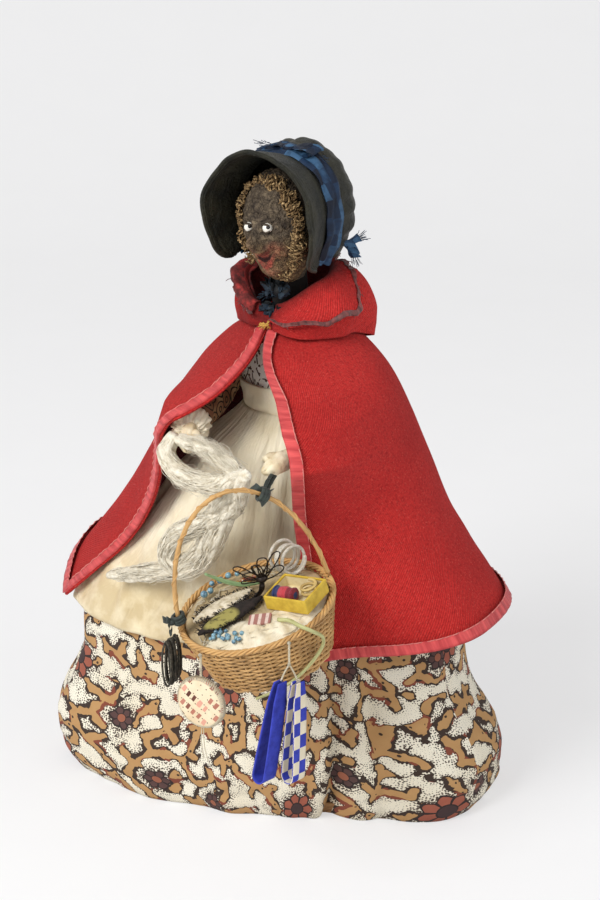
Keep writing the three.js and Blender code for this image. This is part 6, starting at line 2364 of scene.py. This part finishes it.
def webbing(name, check):
    """Blue tape, plain or in a blue and cream check."""
    look = Look(name, 0.75)
    place = look.cloth()
    blue = look.patchy(rgb(58, 70, 186), rgb(42, 50, 150), 3, 3, 0.4, 0.75)
    if check:
        row = look.math("FLOOR", look.math("DIVIDE", look.axis(place, 1), 5.0))
        column = look.math("FLOOR", look.math("DIVIDE", look.axis(place, 0), 3.3))
        odd = look.math("MODULO", look.math("ABSOLUTE", look.plus(row, column)), 2.0)
        cream = look.mix(rgb(246, 236, 212), rgb(226, 212, 182), look.noise(4, 3))
        blue = look.mix(blue, cream, look.above(odd, 0.5))
    look.paint(blue)
    look.bump(weave(look, 0.5), 0.15)
    return look


def add_garter(name, node, slot, slide, lean, look):
    """Strip folded in half at its foot, with its two halves a little apart."""
    def point(u, v):
        s = 2 * v - 1
        round_part = min(1, abs(s) / GARTER_ROUND)
        straight = max(0, abs(s) - GARTER_ROUND) / (1 - GARTER_ROUND)
        bend = blend(GARTER_BEND, GARTER_PINCH, straight ** 1.5)
        tip = GARTER_BEND * (1 - math.cos(round_part * math.pi / 2))
        drop = GARTER_LENGTH - tip - straight * (GARTER_LENGTH - GARTER_BEND)
        depth = math.copysign(bend * math.sin(round_part * math.pi / 2), s)
        narrow = 1 - 0.35 * clamp((straight - 0.8) / 0.2)
        p = GARTER_TURN @ Vector(((0.5 - u) * GARTER_WIDTH * narrow, depth, -drop))
        return p + across_view * (slide + lean * drop) + string_foot

    strip = Shape().grid(point, 6, 120, False, lambda u, v: (u * GARTER_WIDTH, v * 2 * GARTER_LENGTH))
    strip.make(name, look, "garters", node, slot, 0.55)


plain_tape = webbing("blue_webbing", False)
check_tape = webbing("check_webbing", True)
add_garter("plain_garter", "garter_blue", "blue_webbing", -3.4, -0.16, plain_tape)
add_garter("check_garter", "garter_check", "check_webbing", 3.4, -0.05, check_tape)


# Ribbon tie at the left hand

TIE_ANGLE = 60 * RAD
tie_centre = on_handle(TIE_ANGLE)
tie_along = Vector((-RIM_RADIUS * math.sin(TIE_ANGLE), 0, HANDLE_HEIGHT * math.cos(TIE_ANGLE))).normalized()
tie_side = tie_along.cross(Vector((0, 1, 0))).normalized()
tie = Shape()
add_windings(tie, tie_centre, tie_side, tie_along, 2.3, 1.2, 0.85)
tie.place(BASKET)
knot_centre = BASKET @ tie_centre
strap_end = HANDS["left"].lerp(knot_centre, 0.36)
strap_line = [knot_centre, knot_centre.lerp(strap_end, 0.5) + upward(0.8), strap_end]
tie.ribbon(smooth_path(strap_line, 10), (0.6, 0.2, 1), 3.2)
tie.ribbon(smooth_path([p + Vector((0.4, -0.3, 0.2)) for p in strap_line], 10), (1, 0.2, -0.3), 3.0)
for aim in ((2.6, 1.5, 1.4), (-3.4, -1.5, 3.6), (2, -2, -2.4)):
    ribbon_loop(tie, knot_centre, aim, (0.4, -0.7, 0.6), (0.5, 0.6, 0.6), 3.4, 0.4)
tie.ruffle(0.25, 1.8)
tie.make("hand_ribbon", dark_silk, "tie", "hand_tie", "dark_ribbon")


# Hank of raw wool

WOOL_STRANDS = [
    (3.6, [(-15, -62.5, 172.5), (-3, -66, 173.5), (10, -71, 172.5), (20, -75, 170), (26, -80, 172)]),
    (4.4, [(-17.5, -62, 173.5), (-20, -65, 167), (-12, -67.5, 160.5), (2, -71, 160.5), (14, -75, 164),
           (24, -79.5, 172)]),
    (4.4, [(26, -80, 172), (22, -76, 164), (14, -68, 152), (0, -64, 141), (-16, -62.5, 131),
           (-22, -61.5, 120), (-15, -61, 114.5), (-6, -61.5, 121), (1, -63, 131), (10, -66, 146)]),
    (3.8, [(4, -65, 144), (-4, -63, 128), (-16, -61, 116), (-30, -60, 110), (-42, -59, 106),
           (-54, -57, 102)]),
    (2.8, [(24, -79, 171), (14, -72, 158), (2, -65, 146), (-6, -63, 136)]),
]


def fleece():
    """Raw wool: cream fibres with greyer ones between them."""
    look = Look("fleece", 0.95, {"Specular IOR Level": 0.1})
    streak = look.noise(0.6, 4, look.stretched(look.cloth(), 1.4, 0.1), rough=0.65)
    colour = look.patchy(rgb(241, 234, 217), rgb(215, 204, 181), 1.6, 3, 0.35, 0.68)
    look.paint(look.mix(colour, rgb(196, 183, 156), look.between(streak, 0.5, 0.8)))
    look.bump(streak, 0.3)
    return look


CORE_STRANDS = 7
FIBRES = 96
LOOSE_FIBRES = 40


def strayed(p, size, shift, amount):
    """A point moved by smooth noise, another one for each shift."""
    return p + field.noise_vector(p / size + Vector((shift, 0, 0))) * amount


def add_strand(wool, radius, spots):
    """Loose roving: a soft core under many fine fibres that wander along it."""
    last = 11 * (len(spots) - 1)
    line = smooth_path(spots, last + 1)
    sides = frames_along(line)

    def off_centre(k, reach, turn):
        side, other = sides[k]
        size = radius * (0.4 + 0.6 * max(0.0, math.sin(math.pi * k / last)) ** 0.5)
        return line[k] + (side * math.cos(turn) - other * math.sin(turn)) * (size * reach)

    for number in range(CORE_STRANDS):
        first = number * FULL / CORE_STRANDS
        lane = []
        for k in range(last + 1):
            p = off_centre(k, 0.5, first + 0.02 * k + 0.5 * math.sin(0.1 * k + 2 * number))
            lane.append(strayed(p, 7, 0.2 * number, 1.0))
        wool.tube(lane, radius * 0.42, 8)
    for number in range(FIBRES + LOOSE_FIBRES):
        loose = number >= FIBRES
        first = random.uniform(0, FULL)
        reach = random.uniform(0.95, 1.45) if loose else random.uniform(0.8, 1.0)
        drift = random.uniform(-0.035, 0.035)
        length = random.randint(14, 24) if loose else random.randint(last // 2, last)
        start = random.randint(0, max(0, last - length))
        lane = []
        for k in range(start, min(start + length, last) + 1):
            sway = first + drift * k + 0.4 * math.sin(0.16 * k + number)
            p = off_centre(k, reach * (1 + 0.1 * math.sin(0.3 * k + 3 * number)), sway)
            lane.append(strayed(p, 6, 0.05 * number, 1.5 if loose else 0.9))
        thin, thick = (0.06, 0.09) if loose else (0.1, 0.26)
        wool.tube(lane, random.uniform(thin, thick), 3 if loose else 4)


wool = Shape()
random.seed(17)
for radius, spots in WOOL_STRANDS:
    add_strand(wool, radius, spots)
wool.make("wool_roving", fleece(), "doll", "wool_hank", "raw_wool")

# Inner pieces keep their shape and get a grained wood

wood = Look("wood", 0.65)
rings = wood.noise(4, 4, wood.stretched(wood.body(), 0.25, 3, 0.25), swirl=0.8)
wood.paint(wood.mix(rgb(168, 126, 80), rgb(122, 84, 50), wood.between(rings, 0.35, 0.7)))
wood.bump(rings, 0.15)
for node in ("base_board", "body_post"):
    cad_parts[node].data.materials.clear()
    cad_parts[node].data.materials.append(wood.material)

# Lengths of three cords in metres, worked out and not used


def declare_cord(path):
    """Works out the length of a cord in metres; nothing uses it."""
    length = running_lengths(path)[-1] * MM


declare_cord(cord_path)
declare_cord(lace_path)
declare_cord(straw_path)
